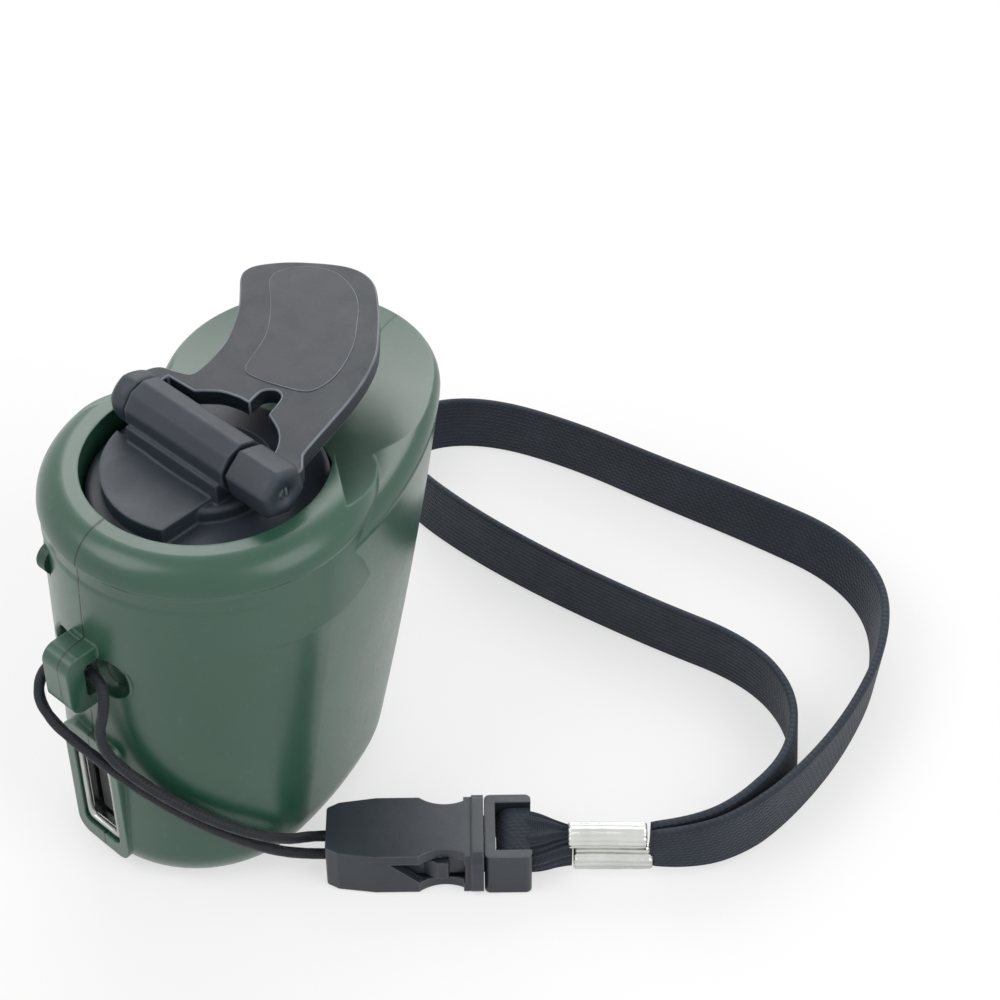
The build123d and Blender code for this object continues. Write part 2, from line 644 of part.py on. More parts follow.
def knuckle(x0, x1):
    """Rounded knuckle at the left end of the hinge, domed on its outer end."""
    barrel = rod_x(LUG_R, x0, x1, 0, 0)
    barrel = fillet(barrel.edges().sort_by(Axis.X)[0], 1.6)
    return barrel + block((x0 + 0.8, x1), (0, 4.0), (ARM_TOP - ARM_T, ARM_TOP))


def cheek(x0, x1):
    """Faceted block at the right end of the hinge."""
    outline = fillet(RegularPolygon(LUG_BLOCK_R, 6, rotation=20).vertices(), 0.7)
    body = Pos(x0, 0, 0) * (Plane.YZ * extrude(outline, x1 - x0))
    return body + block((x0, x1), (0, 4.0), (ARM_TOP - ARM_T, ARM_TOP))


def crank_arm():
    plate = Pos(0, 0, ARM_TOP - ARM_T) * extrude(arm_outline(), ARM_T)
    room = (BARREL_X[0] - LUG_GAP, BARREL_X[1] + LUG_GAP)
    barrel_room = rod_x(BARREL_R + 0.45, room[0], room[1], 0, 0)
    front = block(room, (-6, 3.9), (-6, 6))
    cut = disc(CUT_R, -10, 10, CUT_AT) & block((room[0] + 1.6, room[1] + 1.4), (-20, 20), (-10, 10))
    slot_y = SLOT_END_Y - SLOT_W / 2
    slot = block((-SLOT_W / 2, SLOT_W / 2), (6.0, slot_y), (-10, 10))
    slot = slot + disc(SLOT_W / 2, -10, 10, (0, slot_y))
    arm = plate - front - barrel_room - cut - slot
    arm = arm + knuckle(LUG_LEFT_X, room[0]) + cheek(room[1], LUG_RIGHT_X)
    arm = arm - rod_x(PIN_R, -20, 20, 0, 0)
    arm = arm - pad_shape(ARM_TOP - PAD_DEPTH, ARM_TOP + 1)
    arm = arm - disc(KNOB_POST_R, -10, ARM_TOP - PAD_DEPTH, KNOB_AT)
    return main_solid(arm_tilt() * arm)


def pad_shape(z0, z1, inset=0.0):
    """Kidney-shaped finger pad let into the top of the arm."""
    points = [
        (-3.0, 16.9), (0.2, 16.3), (3.2, 17.6), (3.6, 20.2), (1.4, 24.4), (-2.4, 28.8), (-6.8, 32.2), (-11.0, 32.6),
        (-13.4, 30.6), (-11.4, 27.6), (-7.8, 24.0), (-5.2, 20.6),
    ]
    face = make_face(Spline(*points, periodic=True))
    return Pos(0, 0, z0) * extrude(face, z1 - z0)


def arm_pad():
    pad = pad_shape(ARM_TOP - PAD_DEPTH, ARM_TOP - PAD_SINK)
    return main_solid(arm_tilt() * pad)


def hinge_pin():
    return rod_x(PIN_R, LUG_LEFT_X + 0.2, LUG_RIGHT_X - 0.5, 0, HINGE_Z)


def knob_parts():
    """Finger knob under the arm's tip, and the post that it turns on."""
    top = ARM_TOP - ARM_T - KNOB_GAP
    low = top - KNOB_H
    knob = disc(KNOB_R, low, top, KNOB_AT)
    knob = fillet(knob.edges().sort_by(Axis.Z)[0], 1.2)
    knob = knob - disc(KNOB_POST_R + FIT, low - 1, top + 1, KNOB_AT)
    knob = knob - disc(2.7, low - 1, low + 1.0, KNOB_AT)
    post = disc(KNOB_POST_R, low + 0.9, ARM_TOP - PAD_DEPTH, KNOB_AT)
    head = disc(2.4, low + 0.1, low + 0.9, KNOB_AT)
    return main_solid(arm_tilt() * knob), main_solid(arm_tilt() * (post + head))


# ================================================================= lanyard
STRAND_A = (
    (1.2, -22.3, 35.0), (-2.7, -22.3, 35.0), (-5.4, -24.2, 32.8), (-4.6, -26.6, 30.0), (-1.2, -27.0, 27.6),
    (2.6, -25.6, 24.6), (6.4, -23.8, 21.2), (10.6, -21.4, 17.6), (14.6, -18.2, 13.6), (17.6, -14.2, 9.2),
    (19.6, -10.2, 5.4), (21.44, -6.68, 3.3), (23.02, -5.15, 3.3),
)
STRAND_B = (
    (1.2, -22.3, 35.0), (3.8, -22.3, 35.0), (5.2, -23.6, 32.0), (4.9, -24.8, 28.6), (5.6, -24.6, 25.0),
    (8.4, -23.0, 21.6), (12.2, -20.6, 18.2), (16.2, -17.2, 14.4), (19.3, -12.9, 10.6), (20.3, -8.9, 7.2),
    (20.19, -5.38, 4.7), (21.77, -3.85, 4.7),
)
WEB_ROUTE = (
    (54.22, 22.97), (58.61, 27.06), (61.6, 34.6), (62.1, 44.2), (60.6, 56.4), (56.4, 69.6), (49.2, 79.6), (38.4, 83.6),
    (24.4, 81.6), (8.8, 78.4), (-6.2, 75.9), (-19.4, 71.4), (-26.4, 64.0), (-25.8, 55.8), (-18.0, 51.4), (-4.0, 50.6),
    (11.4, 51.8), (27.4, 54.4), (42.6, 58.0), (53.2, 54.6), (59.4, 46.0), (60.2, 36.4), (57.63, 28.12), (53.24, 24.03),
)


def corner_radii(points):
    """Largest tangent arc at each corner that leaves both runs some straight."""
    radii = []
    for a, b, c in zip(points, points[1:], points[2:]):
        va = Vector(*b) - Vector(*a)
        vb = Vector(*c) - Vector(*b)
        half = radians(va.get_angle(vb)) / 2
        radii.append(0.45 * min(va.length, vb.length) / tan(half))
    return radii


def smooth_path(points):
    radii = corner_radii(points)
    print("radii", [round(r, 1) for r in radii])
    return FilletPolyline(*points, radius=radii)


def strand(points, name):
    path = smooth_path(points)
    start = Plane(origin=path @ 0, z_dir=path % 0)
    tube = sweep(start * Circle(STRAND_R), path=path)
    print(name, "length", round(path.length, 1), "volume ratio", round(tube.volume / (path.length * pi * STRAND_R**2), 3))
    return tube


def webbing():
    """One closed band standing on its edge, from the crimp round and back to the crimp."""
    path = smooth_path([(x, y, WEB_Z) for x, y in WEB_ROUTE])

    def beside(run, share, side):
        p = run @ share
        d = run % share
        return (p.X - side * d.Y * WEB_T / 2, p.Y + side * d.X * WEB_T / 2)

    edges = []
    for side in (1, -1):
        for run in path.edges():
            a, m, b = [beside(run, share, side) for share in (0, 0.5, 1)]
            edges.append(Line(a, b) if run.geom_type == GeomType.LINE else ThreePointArc(a, m, b))
    edges += [Line(beside(path, share, 1), beside(path, share, -1)) for share in (0, 1)]
    band = Pos(0, 0, WEB_Z) * extrude(make_face(edges), WEB_W)
    print("webbing length", round(path.length, 1), "volume ratio", round(band.volume / (path.length * WEB_W * WEB_T), 3))
    return band


def on_ground(at, turn):
    return Pos(at[0], at[1], 0) * Rot(0, 0, turn)


def buckle():
    """Side-release buckle lying on its flat side: socket half, then the half with the two prongs."""
    place = on_ground(BUCKLE_AT, BUCKLE_TURN)
    half_w = BUCKLE_W / 2
    top = BUCKLE_Z + BUCKLE_T
    lip = FEMALE_L - 1.6
    outline = [
        (0.0, -half_w + 1.6), (1.6, -half_w + 0.7), (6.4, -half_w), (FEMALE_L, -half_w), (FEMALE_L, half_w),
        (6.4, half_w), (1.6, half_w - 0.7), (0.0, half_w - 1.6),
    ]
    body = prism(outline, BUCKLE_Z, top)
    body = fillet(body.edges().filter_by(Axis.Z), 0.6)
    flange = block((lip, FEMALE_L), (-half_w - 0.7, half_w + 0.7), (BUCKLE_Z, top + 0.3))
    body = body + fillet(flange.edges().filter_by(Axis.X), 1.2)
    inside = block(
        (7.4, FEMALE_L + 1), (-half_w + BUCKLE_WALL, half_w - BUCKLE_WALL), (BUCKLE_Z + 1.3, top - 1.3)
    )
    window = [(8.2, top - 1.6), (lip - 0.8, top - 1.6), (lip - 0.8, BUCKLE_Z + 1.6), (12.2, BUCKLE_Z + 1.6)]
    windows = Pos(0, half_w + 1.5, 0) * (Plane.XZ * extrude(make_face(Polyline(*window, close=True)), BUCKLE_W + 3))
    scoops = [
        Pos(15.4, side * (half_w + 4.2), BUCKLE_Z + BUCKLE_T / 2) * Cylinder(5.4, BUCKLE_T + 2) for side in (-1, 1)
    ]
    socket = body - inside - windows - [s & block((8, lip - 1.0), (-9, 9), (-1, 9)) for s in scoops]
    m0 = FEMALE_L + MALE_GAP
    m1 = m0 + MALE_L
    base = block((m0, m1), (-half_w - 0.3, half_w + 0.3), (BUCKLE_Z, top))
    base = fillet(base.edges().filter_by(Axis.Z), 0.8)
    base = base - block((m0 + MALE_RAIL, m1 + 1), (-half_w + 1.0, half_w - 1.0), (-1, 10))
    bar_x, bar_z = bar_place()
    base = base + block(bar_x, (-half_w + 0.9, half_w - 0.9), bar_z)
    arms = []
    for side in (-1, 1):
        y0 = side * (half_w - 1.5 - PRONG_T)
        y1 = side * (half_w - 1.5)
        arms.append(block((9.8, m0 + 0.5), sorted((y0, y1)), (BUCKLE_Z + 2.0, top - 2.0)))
        head = [(12.6, y0), (12.6, y1), (14.4, side * (half_w - 0.5)), (15.8, side * (half_w - 0.5)), (16.2, y0)]
        arms.append(prism(head, BUCKLE_Z + 2.0, top - 2.0))
    tongue = block((9.4, m0 + 0.5), (-0.8, 0.8), (BUCKLE_Z + 2.3, top - 2.3))
    plug = base + arms[0] + arms[1] + arms[2] + arms[3] + tongue
    return place * main_solid(socket), place * main_solid(plug)


def bar_place():
    """Length-wise and height-wise extent of the bar in the open end of the buckle."""
    bar_end = FEMALE_L + MALE_GAP + MALE_L - 0.6
    mid_z = BUCKLE_Z + BUCKLE_T / 2 + 0.4
    return (bar_end - BAR_T, bar_end), (mid_z - BAR_H / 2, mid_z + BAR_H / 2)


def crimp():
    """Folded metal ferrule with two rolled lobes, one above the other."""
    lobe_r = CRIMP_H / 4
    profile = Pos(0, lobe_r) * RectangleRounded(CRIMP_T, 2 * lobe_r, min(CRIMP_T, 2 * lobe_r) / 2 - 0.2)
    profile = profile + Pos(0, -lobe_r) * RectangleRounded(CRIMP_T, 2 * lobe_r, min(CRIMP_T, 2 * lobe_r) / 2 - 0.2)
    profile = profile + Rectangle(CRIMP_T - 1.4, 2 * lobe_r)
    body = Plane.YZ * extrude(profile, CRIMP_L)
    return on_ground(CRIMP_AT, CRIMP_TURN) * Pos(0, 0, CRIMP_Z) * body


def short_web():
    """Doubled webbing that turns round the bar of the buckle and gathers into the crimp."""
    place = on_ground(BUCKLE_AT, BUCKLE_TURN)
    bar_x, bar_z = bar_place()
    half = TAIL_W / 2
    low = bar_z[0] - WEB_T
    high = bar_z[1] + WEB_T
    wrap = block((bar_x[0] - WEB_T, bar_x[1]), (-half, half), (low, high)) - block(bar_x, (-9, 9), bar_z)
    wrap = fillet(wrap.edges().filter_by(Axis.Y).sort_by(Axis.X)[:2], 1.0)
    x1 = bar_x[1]
    near = [(place * Pos(x1, y, z)).position for y, z in ((-half, low), (half, low), (half, high), (-half, high))]
    end = on_ground(CRIMP_AT, CRIMP_TURN)
    wide = CRIMP_T / 2 - 0.5
    tall = CRIMP_H / 2 - 0.3
    far = [
        (end * Pos(0, y, CRIMP_Z + z)).position
        for y, z in ((-wide, -tall), (wide, -tall), (wide, tall), (-wide, tall))
    ]
    rings = [Wire(Polyline(*points, close=True).edges()) for points in (near, far)]
    gather = Solid.make_loft(rings, True)
    return main_solid(place * wrap + gather)


# ================================================================= write every node
def main():
    left, right = shells()
    keep(left, "shell_left")
    keep(right, "shell_right")
    keep(case_screws(), "case_screws")
    drive, idler_1, idler_2, pinion = gears()
    keep(drive, "drive_gear")
    keep(idler_1, "idler_1")
    keep(idler_2, "idler_2")
    keep(pinion, "generator_pinion")
    low, top, posts, screws, pin_1, pin_2 = gearbox()
    keep(low, "gearbox_plate_low")
    keep(top, "gearbox_plate_top")
    keep(Compound(children=posts), "gearbox_posts")
    keep(Compound(children=screws), "gearbox_screws")
    keep(pin_1, "idler_1_pin")
    keep(pin_2, "idler_2_pin")
    can, cap, magnets, rotor, shaft, bushes = generator()
    keep(can, "generator_can")
    keep(cap, "generator_cap")
    keep(magnets, "generator_magnets")
    keep(rotor, "rotor_core")
    keep(shaft, "rotor_shaft")
    keep(bushes, "rotor_bushes")
    pcb, capacitor, coil, chip, diodes = board()
    keep(pcb, "circuit_board")
    keep(capacitor, "capacitor")
    keep(coil, "inductor")
    keep(chip, "regulator")
    keep(Compound(children=diodes), "diodes")
    shell, tongue, contacts = usb()
    keep(shell, "usb_shell")
    keep(tongue, "usb_tongue")
    keep(Compound(children=contacts), "usb_contacts")
    keep(jack(), "jack_body")
    keep(crank_hub(), "crank_hub")
    keep(crank_shaft(), "crank_shaft")
    keep(hub_bearing(), "hub_bearing")
    keep(crank_arm(), "crank_arm")
    keep(arm_pad(), "arm_pad")
    keep(hinge_pin(), "hinge_pin")
    knob, knob_screw = knob_parts()
    keep(knob, "finger_knob")
    keep(knob_screw, "knob_screw")
    keep(strand(STRAND_A, "strand a"), "lanyard_strand_a")
    keep(strand(STRAND_B, "strand b"), "lanyard_strand_b")
    socket, plug = buckle()
    keep(socket, "buckle_socket")
    keep(plug, "buckle_plug")
    keep(crimp(), "strap_crimp")
    keep(short_web(), "strap_tail")
    keep(webbing(), "wrist_webbing")


main()
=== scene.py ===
"""Studio scene of a hand crank phone charger, dressed on its CAD frame.

Metres, in the frame of the CAD model: Z is the crank axis and points up, X is the hinge axis of the crank arm and
+Y looks towards the lobe that the folded arm lies over.  The base stands on z = 0.
"""
import logging
import math
from dataclasses import dataclass
from enum import Enum

import bmesh
import bpy
from mathutils import Euler, Matrix, Vector

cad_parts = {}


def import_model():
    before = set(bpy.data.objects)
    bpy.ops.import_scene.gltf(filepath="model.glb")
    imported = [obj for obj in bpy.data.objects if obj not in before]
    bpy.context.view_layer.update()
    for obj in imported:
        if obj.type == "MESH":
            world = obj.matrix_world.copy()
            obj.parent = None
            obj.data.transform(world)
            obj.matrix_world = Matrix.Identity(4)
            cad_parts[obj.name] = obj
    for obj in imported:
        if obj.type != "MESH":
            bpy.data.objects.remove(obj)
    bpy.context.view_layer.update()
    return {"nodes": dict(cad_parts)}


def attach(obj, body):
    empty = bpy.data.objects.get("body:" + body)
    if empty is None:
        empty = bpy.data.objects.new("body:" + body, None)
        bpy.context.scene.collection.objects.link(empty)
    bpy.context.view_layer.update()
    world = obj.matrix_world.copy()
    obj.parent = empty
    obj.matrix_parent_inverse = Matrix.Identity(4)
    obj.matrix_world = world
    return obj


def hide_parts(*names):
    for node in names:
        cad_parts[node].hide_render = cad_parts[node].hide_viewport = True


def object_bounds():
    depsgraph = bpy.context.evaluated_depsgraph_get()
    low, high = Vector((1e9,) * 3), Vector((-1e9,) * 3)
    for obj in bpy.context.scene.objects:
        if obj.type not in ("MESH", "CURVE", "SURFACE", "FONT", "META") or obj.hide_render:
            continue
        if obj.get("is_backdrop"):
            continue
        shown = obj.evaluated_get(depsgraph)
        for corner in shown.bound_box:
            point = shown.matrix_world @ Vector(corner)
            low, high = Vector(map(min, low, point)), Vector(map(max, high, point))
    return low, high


LOG = logging.getLogger("charger")
MM = 0.001


# ------------------------------------------------------------------ options
class Grain(Enum):
    """How a surface is textured."""

    MOULDED = "moulded"
    BRUSHED = "brushed"
    WOVEN = "woven"
    BRAIDED = "braided"
    BOARD = "board"
    TURNED = "turned"


class Body(Enum):
    """The CAD bodies that pieces ride on."""

    CASING = "casing"
    HUB = "crank_hub"
    ARM = "crank_arm"
    KNOB = "finger_knob"
    IDLER_1 = "idler_1"
    IDLER_2 = "idler_2"
    ROTOR = "generator_rotor"


def srgb(red: float, green: float, blue: float) -> tuple[float, float, float, float]:
    """Turns a display colour into the linear colour that a shader takes.

    Args:
        red: Red from 0 to 255.
        green: Green from 0 to 255.
        blue: Blue from 0 to 255.

    Returns:
        Linear red, green, blue and an alpha of 1.
    """

    def one(value: float) -> float:
        """Turns one channel from its display value to its linear share."""
        share = value / 255
        return share / 12.92 if share <= 0.04045 else ((share + 0.055) / 1.055) ** 2.4

    return one(red), one(green), one(blue), 1.0


# ------------------------------------------------------------------ finishes
@dataclass(frozen=True)
class Finish:
    """What a surface is made of.  Colours are display values from 0 to 255 and lengths are metres."""

    name: str
    slot: str
    colour: tuple[float, float, float]
    second: tuple[float, float, float]
    grain: Grain = Grain.MOULDED
    roughness: float = 0.42
    spread: float = 0.07
    metallic: float = 0.0
    relief: float = 0.00002
    grain_size: float = 0.0006
    blotch_size: float = 0.012
    edge: float = 0.0
    # Tone painted onto the edges by the bevel mask: a painted highlight that stands in for light caught on glossy
    # rounded edges.
    edge_highlight_tone: tuple[float, float, float] | None = None
    specular: float = 0.5
    coat: float = 0.0
    coat_roughness: float = 0.2
    sheen: float = 0.0
    ior: float = 1.5
    anisotropy: float = 0.0
    seam: bool = False


CASE_GREEN = Finish(
    "case_green", "case_green", (28, 69, 52), (34, 78, 60), roughness=0.34, spread=0.05, relief=0.000008,
    grain_size=0.0005, blotch_size=0.02, edge=0.0005, edge_highlight_tone=(92, 134, 116), coat=0.4, coat_roughness=0.22,
    seam=True,
)
CRANK_GREY = Finish(
    "crank_grey", "crank_grey", (37, 45, 54), (45, 53, 62), roughness=0.47, spread=0.08, relief=0.000012,
    grain_size=0.0004, blotch_size=0.009, edge=0.0006, edge_highlight_tone=(112, 122, 131), specular=0.42,
)
ARM_GREY = Finish(
    "arm_grey", "crank_grey", (19, 27, 35), (25, 33, 41), roughness=0.46, spread=0.08, relief=0.000012,
    grain_size=0.0004, blotch_size=0.009, edge=0.0003, edge_highlight_tone=(168, 176, 184), specular=0.42,
)
# Lighter tone for the bevel faces of the arm's plates: a painted highlight that stands in for light caught on their
# glossy edges.
ARM_EDGE_HIGHLIGHT = Finish(
    "arm_edge_highlight", "crank_grey", (116, 125, 134), (84, 93, 101), roughness=0.36, spread=0.1, relief=0.000008,
    grain_size=0.0003, blotch_size=0.005, specular=0.5,
)
PAD_GREY = Finish(
    "pad_grey", "crank_grey", (20, 28, 36), (26, 34, 42), roughness=0.44, spread=0.07, relief=0.000009,
    grain_size=0.0004, blotch_size=0.008, edge=0.00015, edge_highlight_tone=(116, 125, 133), specular=0.42,
)
SCREW_STEEL = Finish(
    "screw_steel", "steel", (30, 66, 52), (24, 54, 42), Grain.MOULDED, 0.45, 0.1, 0.0, 0.000006, 0.0003, 0.002,
    edge=0.0001, edge_highlight_tone=(96, 120, 108),
)
STEEL = Finish(
    "steel", "steel", (176, 178, 180), (150, 153, 156), Grain.BRUSHED, 0.28, 0.1, 1.0, 0.000006, 0.0003, 0.004,
    edge=0.00012, edge_highlight_tone=(226, 228, 230), anisotropy=0.3,
)
PORT_METAL = Finish(
    "port_metal", "steel", (188, 190, 186), (164, 167, 166), Grain.BRUSHED, 0.24, 0.08, 1.0, 0.000005, 0.0003,
    0.003, edge=0.00008, edge_highlight_tone=(236, 238, 238), anisotropy=0.2,
)
CAN_METAL = Finish(
    "can_metal", "can_metal", (150, 152, 150), (136, 139, 139), Grain.TURNED, 0.34, 0.1, 1.0, 0.000008, 0.0004,
    0.006, edge=0.0003, edge_highlight_tone=(206, 208, 206),
)
CRIMP_METAL = Finish(
    "crimp_metal", "crimp_metal", (212, 214, 208), (192, 195, 190), Grain.BRUSHED, 0.24, 0.04, 1.0, 0.000005,
    0.0003, 0.006, edge=0.0003, edge_highlight_tone=(244, 246, 244),
)
GEAR_NYLON = Finish(
    "gear_nylon", "gear_nylon", (226, 222, 206), (216, 210, 190), roughness=0.48, relief=0.00001,
    grain_size=0.0004, blotch_size=0.005, edge=0.0001, edge_highlight_tone=(240, 238, 228), sheen=0.05,
)
BRONZE = Finish(
    "bronze", "bronze", (176, 132, 76), (150, 108, 62), Grain.TURNED, 0.36, 0.1, 1.0, 0.000012, 0.0002, 0.002,
    edge=0.0001, edge_highlight_tone=(214, 176, 120),
)
MAGNET = Finish(
    "magnet", "magnet", (62, 60, 60), (74, 72, 70), roughness=0.62, spread=0.1, relief=0.00003,
    grain_size=0.0003, blotch_size=0.002, edge=0.0002, edge_highlight_tone=(104, 102, 100),
)
BOARD_GREEN = Finish(
    "board_green", "board_green", (22, 92, 56), (34, 122, 74), Grain.BOARD, 0.32, 0.05, relief=0.00002,
    grain_size=0.0005, blotch_size=0.0016, edge=0.0001, edge_highlight_tone=(170, 160, 110), coat=0.3, coat_roughness=0.12,
)
COMPONENT = Finish(
    "component_black", "component_black", (30, 30, 33), (40, 40, 43), roughness=0.5, spread=0.1, relief=0.000014,
    grain_size=0.0002, blotch_size=0.002, edge=0.0002, edge_highlight_tone=(84, 84, 88),
)
BUCKLE_BLACK = Finish(
    "buckle_black", "buckle_black", (38, 44, 52), (47, 53, 61), roughness=0.36, spread=0.08, relief=0.000012,
    grain_size=0.0004, blotch_size=0.006, edge=0.0003, edge_highlight_tone=(122, 127, 132),
)
CORD_BLACK = Finish(
    "cord_black", "cord_black", (17, 22, 27), (27, 33, 39), Grain.BRAIDED, 0.58, 0.1, relief=0.00004,
    grain_size=0.0002, blotch_size=0.004, sheen=0.12, specular=0.35,
)
WEBBING_BLACK = Finish(
    "webbing_black", "webbing_black", (25, 33, 44), (34, 43, 55), Grain.WOVEN, 0.66, 0.1, relief=0.00006,
    grain_size=0.0003, blotch_size=0.010, sheen=0.12, specular=0.35,
)


class Tree:
    """Builds the node tree of one material or of the world."""

    def __init__(self, tree: bpy.types.NodeTree) -> None:
        """Clears the tree.

        Args:
            tree: The node tree to fill.
        """
        self.tree = tree
        self.tree.nodes.clear()

    def add(self, kind: str, inputs: dict | None = None, **settings: object) -> bpy.types.Node:
        """Adds one node.

        Args:
            kind: The node's type name.
            inputs: Values or sockets by input name or index.
            settings: Properties of the node itself.

        Returns:
            The new node.
        """
        node = self.tree.nodes.new(kind)
        for key, value in settings.items():
            setattr(node, key, value)
        for key, value in (inputs or {}).items():
            if isinstance(value, bpy.types.NodeSocket):
                self.tree.links.new(value, node.inputs[key])
            else:
                node.inputs[key].default_value = value
        return node

    def math(
        self, operation: str, first: object, second: object = 0.0, clamp: bool = False
    ) -> bpy.types.NodeSocket:
        """Adds a math node.

        Args:
            operation: The operation, such as MULTIPLY.
            first: First value or socket.
            second: Second value or socket.
            clamp: Whether the result is kept between 0 and 1.

        Returns:
            The result's socket.
        """
        return self.add("ShaderNodeMath", {0: first, 1: second}, operation=operation, use_clamp=clamp).outputs[0]

    def span(
        self, value: object, low: float, high: float, to_low: float, to_high: float
    ) -> bpy.types.NodeSocket:
        """Maps one range onto another, clamped.

        Args:
            value: Value or socket to map.
            low: Start of the range.
            high: End of the range.
            to_low: Result at the start.
            to_high: Result at the end.

        Returns:
            The result's socket.
        """
        names = {"Value": value, "From Min": low, "From Max": high, "To Min": to_low, "To Max": to_high}
        return self.add("ShaderNodeMapRange", names).outputs["Result"]

    def noise(
        self, where: object, size: float, detail: float = 3.0, rough: float = 0.5
    ) -> bpy.types.NodeSocket:
        """Adds a noise texture whose features are about one size.

        Args:
            where: Socket of the coordinates.
            size: Size of the features, in the units of the coordinates.
            detail: Octaves of finer noise.
            rough: How strong the finer noise is.

        Returns:
            The noise's value.
        """
        names = {"Vector": where, "Scale": 1 / size, "Detail": detail, "Roughness": rough}
        return self.add("ShaderNodeTexNoise", names).outputs[0]

    def mix(self, share: object, first: object, second: object) -> bpy.types.NodeSocket:
        """Mixes two colours.

        Args:
            share: Share of the second colour.
            first: First colour or socket.
            second: Second colour or socket.

        Returns:
            The mixed colour.
        """
        node = self.add("ShaderNodeMix", data_type="RGBA")
        for index, value in ((0, share), (6, first), (7, second)):
            if isinstance(value, bpy.types.NodeSocket):
                self.tree.links.new(value, node.inputs[index])
            else:
                node.inputs[index].default_value = value
        return node.outputs[2]


